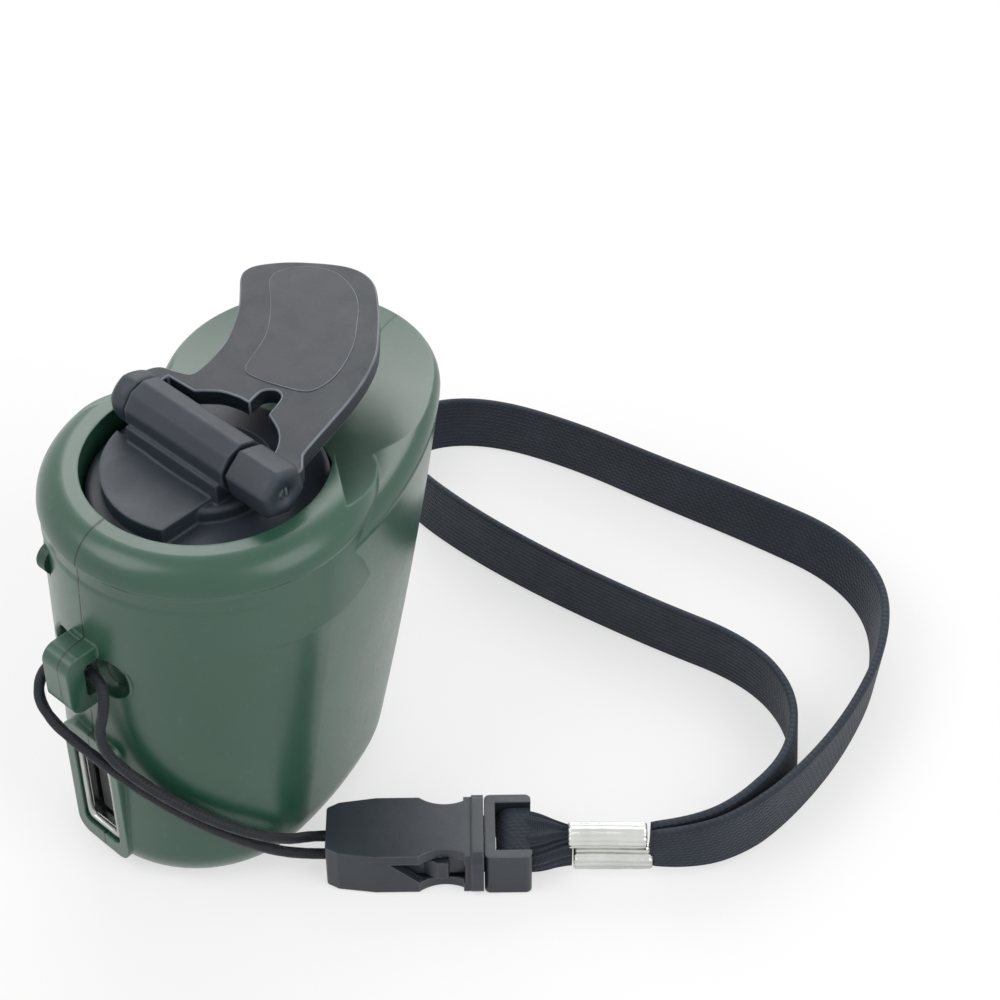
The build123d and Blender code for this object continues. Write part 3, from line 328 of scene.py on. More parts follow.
@dataclass
class Paint:
    """Makes each finish's material once."""

    seam_at: tuple[float, float] = (0.0, -0.021)
    seam_turn: float = 6.9
    seam_half: float = 0.00011

    def __post_init__(self) -> None:
        """Starts with no material made."""
        self.made: dict[str, bpy.types.Material] = {}

    def material(self, finish: Finish) -> bpy.types.Material:
        """Gives the material of a finish.

        Args:
            finish: The finish.

        Returns:
            Its material, made on first use.
        """
        if finish.name not in self.made:
            self.made[finish.name] = self._build(finish)
            LOG.info("material %s", finish.name)
        return self.made[finish.name]

    def _build(self, finish: Finish) -> bpy.types.Material:
        """Builds the node tree of a finish.

        Args:
            finish: The finish.

        Returns:
            The new material.
        """
        material = bpy.data.materials.new(finish.name)
        material.use_nodes = True
        t = Tree(material.node_tree)
        coords = t.add("ShaderNodeTexCoord")
        where = coords.outputs["Object"]
        fine_at, height = self._pattern(t, finish, coords, where)
        blotch = t.span(t.noise(where, finish.blotch_size, 3.0), 0.3, 0.7, 0.0, 1.0)
        colour = t.mix(blotch, srgb(*finish.colour), srgb(*finish.second))
        fine = t.noise(fine_at, finish.grain_size, 5.0, 0.6)
        speck = t.span(t.noise(where, finish.grain_size * 2.3, 2.0), 0.62, 0.78, 0.0, 0.22)
        colour = t.mix(speck, colour, srgb(*[min(255.0, c * 1.25 + 8) for c in finish.second]))
        # Noise that varies the roughness as wear and also breaks up the painted edge highlight below.
        wear_and_highlight_noise = t.noise(where, 0.004, 4.0, 0.6)
        low, high = finish.roughness - finish.spread, finish.roughness + finish.spread
        worn = t.math("ADD", t.math("MULTIPLY", fine, 0.5), t.math("MULTIPLY", wear_and_highlight_noise, 0.5))
        rough = t.span(worn, 0.3, 0.7, low, high)
        height = t.math("ADD", height, t.math("MULTIPLY", fine, 0.6)) if height is not None else fine
        normal: dict = {"Height": height, "Distance": finish.relief, "Strength": 1.0}
        if finish.edge > 0:
            bevel = t.add("ShaderNodeBevel", {"Radius": finish.edge}, samples=4)
            flat = t.add("ShaderNodeNewGeometry").outputs["Normal"]
            dot = t.add("ShaderNodeVectorMath", {0: bevel.outputs[0], 1: flat}, operation="DOT_PRODUCT")
            # Painted edge highlight: where the bevel normal turns away from the face normal, the colour is lightened
            # towards the edge tone, standing in for light on the rounded edges. The bevel normal also rounds the real
            # shading.
            painted_edge_highlight = t.span(dot.outputs["Value"], 0.999, 0.86, 0.0, 0.55)
            painted_edge_highlight = t.math("MULTIPLY", painted_edge_highlight, t.span(wear_and_highlight_noise, 0.35, 0.65, 0.55, 1.0))
            colour = t.mix(painted_edge_highlight, colour, srgb(*(finish.edge_highlight_tone or finish.second)))
            normal["Normal"] = bevel.outputs[0]
        if finish.seam:
            line = self._seam(t, where)
            colour = t.mix(t.math("MULTIPLY", line, 0.72), colour, srgb(14, 26, 22))
            sunk = t.add("ShaderNodeBump", {**normal})
            normal = {"Height": t.math("SUBTRACT", 1.0, line), "Distance": 0.00008, "Strength": 1.0,
                      "Normal": sunk.outputs[0]}
        bump = t.add("ShaderNodeBump", normal)
        shader = t.add(
            "ShaderNodeBsdfPrincipled",
            {
                "Base Color": colour,
                "Roughness": rough,
                "Metallic": finish.metallic,
                "IOR": finish.ior,
                "Specular IOR Level": finish.specular,
                "Coat Weight": finish.coat,
                "Coat Roughness": finish.coat_roughness,
                "Sheen Weight": finish.sheen,
                "Sheen Roughness": 0.4,
                "Anisotropic": finish.anisotropy,
                "Normal": bump.outputs[0],
            },
        )
        t.add("ShaderNodeOutputMaterial", {"Surface": shader.outputs[0]})
        return material

    def _pattern(self, t: Tree, finish: Finish, coords: bpy.types.Node, where: bpy.types.NodeSocket) -> tuple:
        """Adds the regular pattern of a finish.

        Args:
            t: The tree to add to.
            finish: The finish.
            coords: The texture coordinate node.
            where: Coordinates in the frame.

        Returns:
            Coordinates for the fine grain, and the pattern's height or None.
        """
        if finish.grain is Grain.BRUSHED:
            return t.add("ShaderNodeMapping", {"Vector": where, "Scale": (0.12, 0.12, 1.0)}).outputs[0], None
        if finish.grain is Grain.TURNED:
            rings = t.add("ShaderNodeTexWave", {"Vector": where, "Scale": 900.0, "Distortion": 1.2, "Detail": 2.0},
                          wave_type="RINGS", rings_direction="Z")
            return where, t.math("MULTIPLY", rings.outputs["Fac"], 0.5)
        if finish.grain is Grain.BOARD:
            grid = t.add("ShaderNodeTexBrick", {"Vector": where, "Scale": 420.0, "Mortar Size": 0.03})
            return where, t.math("MULTIPLY", grid.outputs["Fac"], 0.7)
        if finish.grain in (Grain.WOVEN, Grain.BRAIDED):
            along = t.add("ShaderNodeSeparateXYZ", {0: coords.outputs["UV"]})
            step = 0.0009 if finish.grain is Grain.WOVEN else 0.0006
            slope = 0.35 if finish.grain is Grain.WOVEN else 0.0
            run = t.math("DIVIDE", along.outputs[1], step)
            across = t.math("DIVIDE", along.outputs[0], step)
            slant = t.math("ADD", run, t.math("MULTIPLY", across, slope))
            one = t.math("SINE", t.math("MULTIPLY", slant, math.tau))
            two = t.math("SINE", t.math("MULTIPLY", t.math("ADD", across, 0.25), math.tau))
            weave = t.math("MULTIPLY", one, two)
            return where, t.span(weave, -1.0, 1.0, 0.0, 1.0)
        return where, None

    def _seam(self, t: Tree, where: bpy.types.NodeSocket) -> bpy.types.NodeSocket:
        """Adds the mask of the line where the two shells meet.

        Args:
            t: The tree to add to.
            where: Coordinates in the frame.

        Returns:
            A value of 1 on the line and 0 away from it.
        """
        turn = math.radians(self.seam_turn)
        offset = t.add("ShaderNodeVectorMath", {0: where, 1: (self.seam_at[0], self.seam_at[1], 0.0)},
                       operation="SUBTRACT")
        across = t.add("ShaderNodeVectorMath", {0: offset.outputs[0], 1: (math.cos(turn), math.sin(turn), 0.0)},
                       operation="DOT_PRODUCT")
        away = t.math("ABSOLUTE", across.outputs["Value"])
        line = t.span(away, self.seam_half * 0.5, self.seam_half * 1.6, 1.0, 0.0)
        depth = t.add("ShaderNodeSeparateXYZ", {0: where}).outputs[1]
        return t.math("MULTIPLY", line, t.span(depth, -0.002, 0.002, 1.0, 0.0))


# ------------------------------------------------------------------ mesh helpers
def mesh_piece(
    name: str, points: list, faces: list, uvs: list | None = None, smooth: bool = True
) -> bpy.types.Object:
    """Makes an object from points and faces, in metres.

    Args:
        name: Name of the piece.
        points: Positions of the vertices.
        faces: Vertex numbers of each face.
        uvs: Texture place of each vertex, or None.
        smooth: Whether the faces are shaded smooth.

    Returns:
        The new object.
    """
    mesh = bpy.data.meshes.new(name)
    mesh.from_pydata([tuple(p) for p in points], [], faces)
    mesh.update()
    if uvs is not None:
        layer = mesh.uv_layers.new(name="UVMap")
        for loop in mesh.loops:
            layer.data[loop.index].uv = uvs[loop.vertex_index]
    fixed = bmesh.new()
    fixed.from_mesh(mesh)
    bmesh.ops.recalc_face_normals(fixed, faces=fixed.faces)
    fixed.to_mesh(mesh)
    fixed.free()
    mesh.polygons.foreach_set("use_smooth", [smooth] * len(mesh.polygons))
    piece = bpy.data.objects.new(name, mesh)
    bpy.context.scene.collection.objects.link(piece)
    return piece


def resample(points: list[Vector], step: float) -> list[Vector]:
    """Spaces the points of a line evenly.

    Args:
        points: The line.
        step: Wanted spacing in metres.

    Returns:
        Evenly spaced points with the same ends.
    """
    runs = [0.0]
    for a, b in zip(points, points[1:]):
        runs.append(runs[-1] + (b - a).length)
    count = max(2, round(runs[-1] / step))
    out: list[Vector] = []
    k = 0
    for i in range(count + 1):
        s = runs[-1] * i / count
        while k < len(runs) - 2 and runs[k + 1] < s:
            k += 1
        gap = runs[k + 1] - runs[k] or 1e-9
        out.append(points[k].lerp(points[k + 1], min(1.0, (s - runs[k]) / gap)))
    return out


def tangents(points: list[Vector]) -> list[Vector]:
    """Directions along a line.

    Args:
        points: The line.

    Returns:
        One unit direction for each point.
    """
    last = len(points) - 1
    return [(points[min(i + 1, last)] - points[max(i - 1, 0)]).normalized() for i in range(last + 1)]


def skin(rings: list[list[Vector]], closed_ends: bool = True) -> tuple[list[Vector], list[tuple]]:
    """Joins closed rings of equal count into a tube.

    Args:
        rings: The rings in order.
        closed_ends: Whether each end is capped.

    Returns:
        The points and the faces.
    """
    n = len(rings[0])
    points = [p for ring in rings for p in ring]
    faces: list[tuple] = []
    for i in range(len(rings) - 1):
        for j in range(n):
            k = (j + 1) % n
            faces.append((i * n + j, i * n + k, (i + 1) * n + k, (i + 1) * n + j))
    if closed_ends:
        faces.append(tuple(range(n)))
        faces.append(tuple(range((len(rings) - 1) * n, len(rings) * n)))
    return points, faces


@dataclass(frozen=True)
class Route:
    """A cord's line, as the control points of a spline in millimetres."""

    name: str
    points: tuple

    def line(self, step: float) -> list[Vector]:
        """Reads the spline back as evenly spaced points.

        Args:
            step: Spacing in metres.

        Returns:
            Points along the spline, in metres.
        """
        curve = bpy.data.curves.new(self.name + "_route", "CURVE")
        curve.dimensions = "3D"
        spline = curve.splines.new("NURBS")
        spline.points.add(len(self.points) - 1)
        for slot, place in zip(spline.points, self.points):
            slot.co = (place[0] * MM, place[1] * MM, place[2] * MM, 1.0)
        spline.order_u = 3
        spline.use_endpoint_u = True
        curve.resolution_u = 24
        carrier = bpy.data.objects.new(self.name + "_route", curve)
        bpy.context.scene.collection.objects.link(carrier)
        bpy.context.view_layer.update()
        mesh = bpy.data.meshes.new_from_object(carrier)
        read = [v.co.copy() for v in mesh.vertices]
        bpy.data.objects.remove(carrier)
        bpy.data.curves.remove(curve)
        bpy.data.meshes.remove(mesh)
        return resample(read, step)


@dataclass
class Studio:
    """Camera, lamps, floor and background."""

    camera_at: tuple[float, float, float] = (0.17679, -0.13701, 0.24647)
    camera_turn: tuple[float, float, float] = (48.0, 0.0, 43.0)
    lens: float = 86.4
    floor_size: float = 3.0
    floor_tone: tuple[float, float, float] = (250, 250, 250)
    ambient: float = 0.55

    def camera(self) -> bpy.types.Object:
        """Sets the camera up.

        Returns:
            The camera.
        """
        data = bpy.data.cameras.new("view")
        data.lens = self.lens
        data.sensor_width = 36.0
        data.clip_start = 0.01
        camera = bpy.data.objects.new("view", data)
        camera.location = self.camera_at
        camera.rotation_euler = Euler([math.radians(a) for a in self.camera_turn])
        bpy.context.scene.collection.objects.link(camera)
        bpy.context.scene.camera = camera
        return camera

    def lamp(self, name: str, at: tuple, towards: tuple, size: tuple[float, float], power: float) -> None:
        """Adds one softbox.

        Args:
            name: Name of the lamp.
            at: Its place in metres.
            towards: The point it faces.
            size: Width and height in metres.
            power: Power in watts.
        """
        data = bpy.data.lights.new(name, "AREA")
        data.shape = "RECTANGLE"
        data.size, data.size_y = size
        data.energy = power
        lamp = bpy.data.objects.new(name, data)
        lamp.location = at
        lamp.rotation_euler = (Vector(towards) - Vector(at)).to_track_quat("-Z", "Y").to_euler()
        bpy.context.scene.collection.objects.link(lamp)
        LOG.info("lamp %s %.1f W", name, power)

    def lamps(self) -> None:
        """Adds the softboxes."""
        aim = (0.0, 0.02, 0.03)
        self.lamp("key", (-0.25, -0.42, 0.62), aim, (0.45, 0.45), 1.7)
        self.lamp("back", (-0.52, 0.62, 0.66), aim, (0.9, 0.6), 5.0)
        self.lamp("side", (0.55, 0.12, 0.42), aim, (0.4, 0.5), 1.4)

    def world(self) -> None:
        """Gives a white background and an even ambient light."""
        world = bpy.data.worlds.new("studio")
        bpy.context.scene.world = world
        world.use_nodes = True
        t = Tree(world.node_tree)
        path = t.add("ShaderNodeLightPath")
        seen = t.math("MAXIMUM", path.outputs["Is Camera Ray"], path.outputs["Is Transmission Ray"])
        seen = t.math("MAXIMUM", seen, path.outputs["Is Glossy Ray"])
        strength = t.span(seen, 0.0, 1.0, self.ambient, 1.0)
        back = t.add("ShaderNodeBackground", {"Color": (1.0, 1.0, 1.0, 1.0), "Strength": strength})
        t.add("ShaderNodeOutputWorld", {"Surface": back.outputs[0]})

    def floor(self) -> None:
        """Adds the pale floor, which keeps the object's shadow."""
        half = self.floor_size / 2
        corners = [(-half, -half, 0.0), (half, -half, 0.0), (half, half, 0.0), (-half, half, 0.0)]
        floor = mesh_piece("floor", corners, [(0, 1, 2, 3)], smooth=False)
        material = bpy.data.materials.new("floor")
        material.use_nodes = True
        t = Tree(material.node_tree)
        where = t.add("ShaderNodeTexCoord").outputs["Object"]
        tone = t.mix(t.noise(where, 0.05, 3.0), srgb(*self.floor_tone), srgb(*[c - 3 for c in self.floor_tone]))
        paper = t.add("ShaderNodeBsdfDiffuse", {"Color": tone, "Roughness": 0.6})
        glow = t.add("ShaderNodeEmission", {"Color": (1.0, 1.0, 1.0, 1.0), "Strength": 1.0})
        path = t.add("ShaderNodeLightPath")
        seen = t.math("MAXIMUM", path.outputs["Is Camera Ray"], path.outputs["Is Transmission Ray"])
        seen = t.math("MAXIMUM", seen, path.outputs["Is Glossy Ray"])
        share = t.math("MULTIPLY", seen, 0.6)
        both = t.add("ShaderNodeMixShader", {0: share, 1: paper.outputs[0], 2: glow.outputs[0]})
        t.add("ShaderNodeOutputMaterial", {"Surface": both.outputs[0]})
        floor.data.materials.append(material)
        floor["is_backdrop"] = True

    def build(self) -> None:
        """Builds the whole studio."""
        scene = bpy.context.scene
        scene.view_settings.view_transform = "Standard"
        self.camera()
        self.lamps()
        self.world()
        self.floor()


# ------------------------------------------------------------------ lanyard
STRAND_A = Route("strand_a", (
    (1.2, -22.3, 35.0), (-2.7, -22.3, 35.0), (-5.4, -24.2, 32.8), (-4.6, -26.6, 30.0), (-1.2, -27.0, 27.6),
    (2.6, -25.6, 24.6), (6.4, -23.8, 21.2), (10.6, -21.4, 17.6), (14.6, -18.2, 13.6), (17.6, -14.2, 9.2),
    (19.6, -10.2, 5.4), (21.44, -6.68, 3.3), (23.02, -5.15, 3.3),
))
STRAND_B = Route("strand_b", (
    (1.2, -22.3, 35.0), (3.8, -22.3, 35.0), (5.2, -23.6, 32.0), (4.9, -24.8, 28.6), (5.6, -24.6, 25.0),
    (8.4, -23.0, 21.6), (12.2, -20.6, 18.2), (16.2, -17.2, 14.4), (19.3, -12.9, 10.6), (20.3, -8.9, 7.2),
    (20.19, -5.38, 4.7), (21.77, -3.85, 4.7),
))
WEB_PLAN = (
    (54.22, 22.97), (58.61, 27.06), (61.6, 34.6), (62.1, 44.2), (60.6, 56.4), (56.4, 69.6),
    (49.2, 79.6), (38.4, 83.6), (24.4, 81.6), (8.8, 78.4), (-6.2, 75.9), (-19.4, 71.4),
    (-26.4, 64.0), (-25.8, 55.8), (-18.0, 51.4), (-4.0, 50.6), (11.4, 51.8), (27.4, 54.4),
    (42.6, 58.0), (53.2, 54.6), (59.4, 46.0), (60.2, 36.4), (57.63, 28.12), (53.24, 24.03),
)
WEB_MID_Z = 5.3
WEB = Route("webbing", tuple((x, y, WEB_MID_Z) for x, y in WEB_PLAN))


@dataclass
class Lanyard:
    """Two thin strands, the woven wrist strap and the gathered end in the buckle."""

    paint: Paint
    nodes: dict
    strand_r: float = 0.0007
    web_w: float = 0.010
    web_t: float = 0.0012
    rib_count: int = 13
    rib_depth: float = 0.00007
    buckle_at: tuple[float, float] = (0.0224, -0.0045)
    buckle_turn: float = 44.0
    crimp_at: tuple[float, float] = (0.0459, 0.0162)
    crimp_turn: float = 43.0
    bar_x: tuple[float, float] = (0.0242, 0.0260)
    bar_z: tuple[float, float] = (0.0030, 0.0054)
    tail_half: float = 0.0039
    crimp_z: float = 0.0049
    crimp_half: tuple[float, float] = (0.0013, 0.0030)
    ridges: int = 7
    ridge_low: float = 0.92
    ridge_rise: float = 0.12
    pleats: int = 9
    lobe_r: float = 0.00165
    lobe_rise: float = 0.0018
    lobe_length: float = 0.0102
    lobe_shift: float = 0.0008
    ferrule: bpy.types.Object | None = None
    ends: tuple = ()

    def dress(self, piece: bpy.types.Object, finish: Finish) -> bpy.types.Object:
        """Gives a piece its finish and lets it ride on the casing.

        Args:
            piece: The piece.
            finish: Its finish.

        Returns:
            The same piece.
        """
        piece.data.materials.append(self.paint.material(finish))
        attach(piece, Body.CASING.value)
        LOG.info("piece %s, %d faces", piece.name, len(piece.data.polygons))
        return piece

    def strand(self, route: Route, node: str) -> bpy.types.Object:
        """Builds one braided strand.

        Args:
            route: Its line.
            node: The CAD node that it stands for.

        Returns:
            The strand.
        """
        line = route.line(0.00022)
        heading = tangents(line)
        side = heading[0].orthogonal().normalized()
        count, strands, pitch = 20, 4, 0.0034
        rings, uvs, s = [], [], 0.0
        for i, (place, ahead) in enumerate(zip(line, heading)):
            side = (side - ahead * side.dot(ahead)).normalized()
            up = ahead.cross(side)
            s += (place - line[i - 1]).length if i else 0.0
            ring = []
            for j in range(count):
                a = math.tau * j / count
                turn = math.tau * s / pitch
                lift = max(math.cos(strands * a + turn), math.cos(strands * a - turn))
                r = self.strand_r * (0.985 + 0.045 * lift)
                ring.append(place + (side * math.cos(a) + up * math.sin(a)) * r)
                uvs.append((self.strand_r * a, s))
            rings.append(ring)
        points, faces = skin(rings)
        piece = self.dress(mesh_piece(node + "_braid", points, faces, uvs), CORD_BLACK)
        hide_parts(node)
        return piece

    def band_section(self) -> list[tuple[float, float]]:
        """Gives the ribbed outline of the webbing.

        Returns:
            (across, thick) of each point in metres.
        """
        half, thick = self.web_w / 2, self.web_t / 2
        steps = self.rib_count * 4
        top = []
        for k in range(steps + 1):
            u = -half + self.web_w * k / steps
            edge = min(1.0, (half - abs(u)) / 0.0004)
            rib = self.rib_depth * (0.5 - 0.5 * math.cos(math.tau * self.rib_count * (u / self.web_w + 0.5)))
            top.append((u * 0.995, (thick - self.rib_depth + rib) * (0.45 + 0.55 * math.sqrt(max(0.0, edge)))))
        return top + [(u, -v) for u, v in reversed(top)]

    def band(self, name: str, line: list[Vector], wide: list[Vector], section: list[tuple[float, float]],
             narrow: list[float] | None = None) -> bpy.types.Object:
        """Sweeps a section along a line.

        Args:
            name: Name of the piece.
            line: The middle of the band.
            wide: Direction of the width at each point.
            section: The outline as (across, thick).
            narrow: Share of the full width at each point, or None.

        Returns:
            The band.
        """
        heading = tangents(line)
        rings, uvs, s = [], [], 0.0
        for i, place in enumerate(line):
            s += (place - line[i - 1]).length if i else 0.0
            across = (wide[i] - heading[i] * wide[i].dot(heading[i])).normalized()
            out = heading[i].cross(across)
            share = narrow[i] if narrow else 1.0
            rings.append([place + across * u * share + out * v for u, v in section])
            uvs += [(u, s) for u, _ in section]
        points, faces = skin(rings)
        return mesh_piece(name, points, faces, uvs)

    def webbing(self) -> bpy.types.Object:
        """Builds the wrist strap.

        Returns:
            The strap.
        """
        line = WEB.line(0.0008)
        last = len(line) - 1
        wide = []
        for i in range(last + 1):
            share = i / last
            lean = math.radians(self.lean(share))
            ahead = tangents(line[max(0, i - 1): i + 2])[-1] if i else (line[1] - line[0]).normalized()
            wide.append((Matrix.Rotation(lean, 3, ahead) @ Vector((0, 0, 1))).normalized())
        runs = [0.0]
        for a, b in zip(line, line[1:]):
            runs.append(runs[-1] + (b - a).length)
        narrow = [0.6 + 0.4 * min(1.0, min(s, runs[-1] - s) / 0.016) ** 0.7 for s in runs]
        piece = self.dress(self.band("wrist_strap", line, wide, self.band_section(), narrow), WEBBING_BLACK)
        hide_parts("wrist_webbing")
        return piece

    @staticmethod
    def lean(share: float) -> float:
        """Gives how far the strap leans from upright.

        Args:
            share: Place along the strap from 0 to 1.

        Returns:
            Lean in degrees.
        """
        return 5.0 * math.sin(math.tau * share * 1.5)

    def crimp(self) -> bpy.types.Object:
        """Builds the folded ferrule with its two rolled, ridged lobes.

        Returns:
            The ferrule.
        """
        end = Matrix.Translation((*self.crimp_at, 0)) @ Matrix.Rotation(math.radians(self.crimp_turn), 4, "Z")
        points: list[Vector] = []
        faces: list[tuple] = []
        for side in (1, -1):
            start = 0.0 if side > 0 else self.lobe_shift
            middle = Vector((0, 0.0002 * side, self.crimp_z + self.lobe_rise * side))
            rings = []
            for k in range(41):
                share = k / 40
                along = start + self.lobe_length * share
                tuck = 1 - 0.10 * max(0.0, 1 - min(share, 1 - share) / 0.04) ** 2
                ring = []
                for j in range(72):
                    a = math.tau * j / 72
                    crest = abs(math.cos(self.ridges * a + 0.25 * math.sin(5 * share)))
                    r = self.lobe_r * tuck * (self.ridge_low + self.ridge_rise * crest)
                    r *= 1 + 0.012 * math.sin(23 * share + 2 * a)
                    across = Vector((along, r * math.cos(a) * 0.98, r * math.sin(a) * 1.06))
                    ring.append(end @ (middle + across))
                rings.append(ring)
            more, sides = skin(rings)
            faces += [tuple(v + len(points) for v in face) for face in sides]
            points += more
        piece = self.dress(mesh_piece("strap_ferrule", points, faces), CRIMP_METAL)
        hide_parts("strap_crimp")
        self.ferrule = piece
        return piece

    def tail(self) -> bpy.types.Object:
        """Builds the doubled webbing that turns round the buckle's bar and gathers into the crimp.

        Returns:
            The gathered end.
        """
        place = Matrix.Translation((*self.buckle_at, 0)) @ Matrix.Rotation(math.radians(self.buckle_turn), 4, "Z")
        end = Matrix.Translation((*self.crimp_at, 0)) @ Matrix.Rotation(math.radians(self.crimp_turn), 4, "Z")
        mid = (self.bar_z[0] + self.bar_z[1]) / 2
        gap = (self.bar_z[1] - self.bar_z[0]) / 2 + self.web_t / 2
        turn = self.bar_x[0]
        loop = [Vector((self.bar_x[1] + 0.0004, 0, mid + gap)), Vector((turn, 0, mid + gap))]
        for k in range(1, 12):
            a = math.pi / 2 + math.pi * k / 12
            loop.append(Vector((turn + 0.0016 * math.cos(a), 0, mid + gap * math.sin(a))))
        loop += [Vector((turn, 0, mid - gap)), Vector((self.bar_x[1] + 0.0004, 0, mid - gap))]
        line = [place @ p for p in resample(loop, 0.0003)]
        sideways = (place.to_3x3() @ Vector((0, 1, 0))).normalized()
        scale = self.tail_half / (self.web_w / 2)
        section = [(u * scale, v) for u, v in self.band_section()]
        wrap = self.band("strap_wrap", line, [sideways] * len(line), section)
        rings, uvs = [], []
        steps, count = 56, 120
        for i in range(steps + 1):
            share = i / steps
            ease = share * share * (3 - 2 * share)
            ring = []
            for j in range(count):
                t = math.tau * j / count
                c, s = math.cos(t), math.sin(t)
                near = Vector((self.bar_x[1], self.tail_half * math.copysign(abs(c) ** 0.45, c),
                               mid + (gap + self.web_t / 2) * math.copysign(abs(s) ** 0.6, s)))
                far = Vector((0.0006, self.crimp_half[0] * math.copysign(abs(c) ** 0.8, c),
                              self.crimp_z + self.crimp_half[1] * math.copysign(abs(s) ** 0.7, s)))
                a, b = place @ near, end @ far
                smooth = 0.5 * ease + 0.5 * share
                fold = 0.00022 * (0.35 + 0.65 * share) * math.cos(self.pleats * 2 * t + 0.6 * math.sin(3 * share))
                rib = 0.0001 * math.cos(30 * t)
                waist = 1 + 0.05 * math.sin(math.pi * share)
                middle_a = place @ Vector((self.bar_x[1], 0, mid))
                middle_b = end @ Vector((0.0006, 0, self.crimp_z))
                core = middle_a.lerp(middle_b, share)
                out = a.lerp(b, smooth) - middle_a.lerp(middle_b, smooth)
                reach = out.length
                ring.append(core + out * waist + out.normalized() * (fold + rib) * min(1.0, reach / 0.002))
                uvs.append((reach * t, share * 0.019))
            rings.append(ring)
        points, faces = skin(rings)
        gather = mesh_piece("strap_gather", points, faces, uvs)
        for piece in (wrap, gather):
            self.dress(piece, WEBBING_BLACK)
        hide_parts("strap_tail")
        self.ends = (wrap, gather)
        return gather

    def build(self) -> None:
        """Builds every soft piece of the lanyard."""
        self.strand(STRAND_A, "lanyard_strand_a")
        self.strand(STRAND_B, "lanyard_strand_b")
        self.crimp()
        self.tail()
        self.webbing()


# ------------------------------------------------------------------ crank arm
def flow(points: list[tuple[float, float]], steps: int = 5) -> list[tuple[float, float]]:
    """Draws a smooth open curve through plan points.

    Args:
        points: The points in order.
        steps: Pieces between two points.

    Returns:
        Points on the curve, both ends among them.
    """
    ends = [points[0], *points, points[-1]]
    out = []
    for p0, p1, p2, p3 in zip(ends, ends[1:], ends[2:], ends[3:]):
        for k in range(steps):
            t = k / steps
            out.append(tuple(
                0.5 * (2 * b + (c - a) * t + (2 * a - 5 * b + 4 * c - d) * t * t + (3 * b - a - 3 * c + d) * t**3)
                for a, b, c, d in zip(p0, p1, p2, p3)
            ))
    return out + [points[-1]]


def slab(name: str, outline: list[tuple[float, float]], low: float, high: float, place: Matrix, round_to: float
         ) -> bpy.types.Object:
    """Makes a plate with rounded edges.

    Args:
        name: Name of the piece.
        outline: Plan outline in millimetres.
        low: Height of its underside in millimetres.
        high: Height of its top in millimetres.
        place: Where the plate's own frame sits, in metres.
        round_to: Radius of the edges in metres.

    Returns:
        The plate.
    """
    n = len(outline)
    points = [place @ Vector((x * MM, y * MM, z * MM)) for z in (low, high) for x, y in outline]
    faces = [tuple(range(n - 1, -1, -1)), tuple(range(n, 2 * n))]
    faces += [(i, (i + 1) % n, n + (i + 1) % n, n + i) for i in range(n)]
    piece = mesh_piece(name, points, faces)
    edge = piece.modifiers.new("edges", "BEVEL")
    edge.width = round_to
    edge.segments = 2
    # The bevel faces take the second material, which is the painted edge highlight.
    edge.material = 1
    edge.limit_method = "ANGLE"
    edge.angle_limit = math.radians(50)
    piece.modifiers.new("normals", "WEIGHTED_NORMAL").keep_sharp = True
    return piece


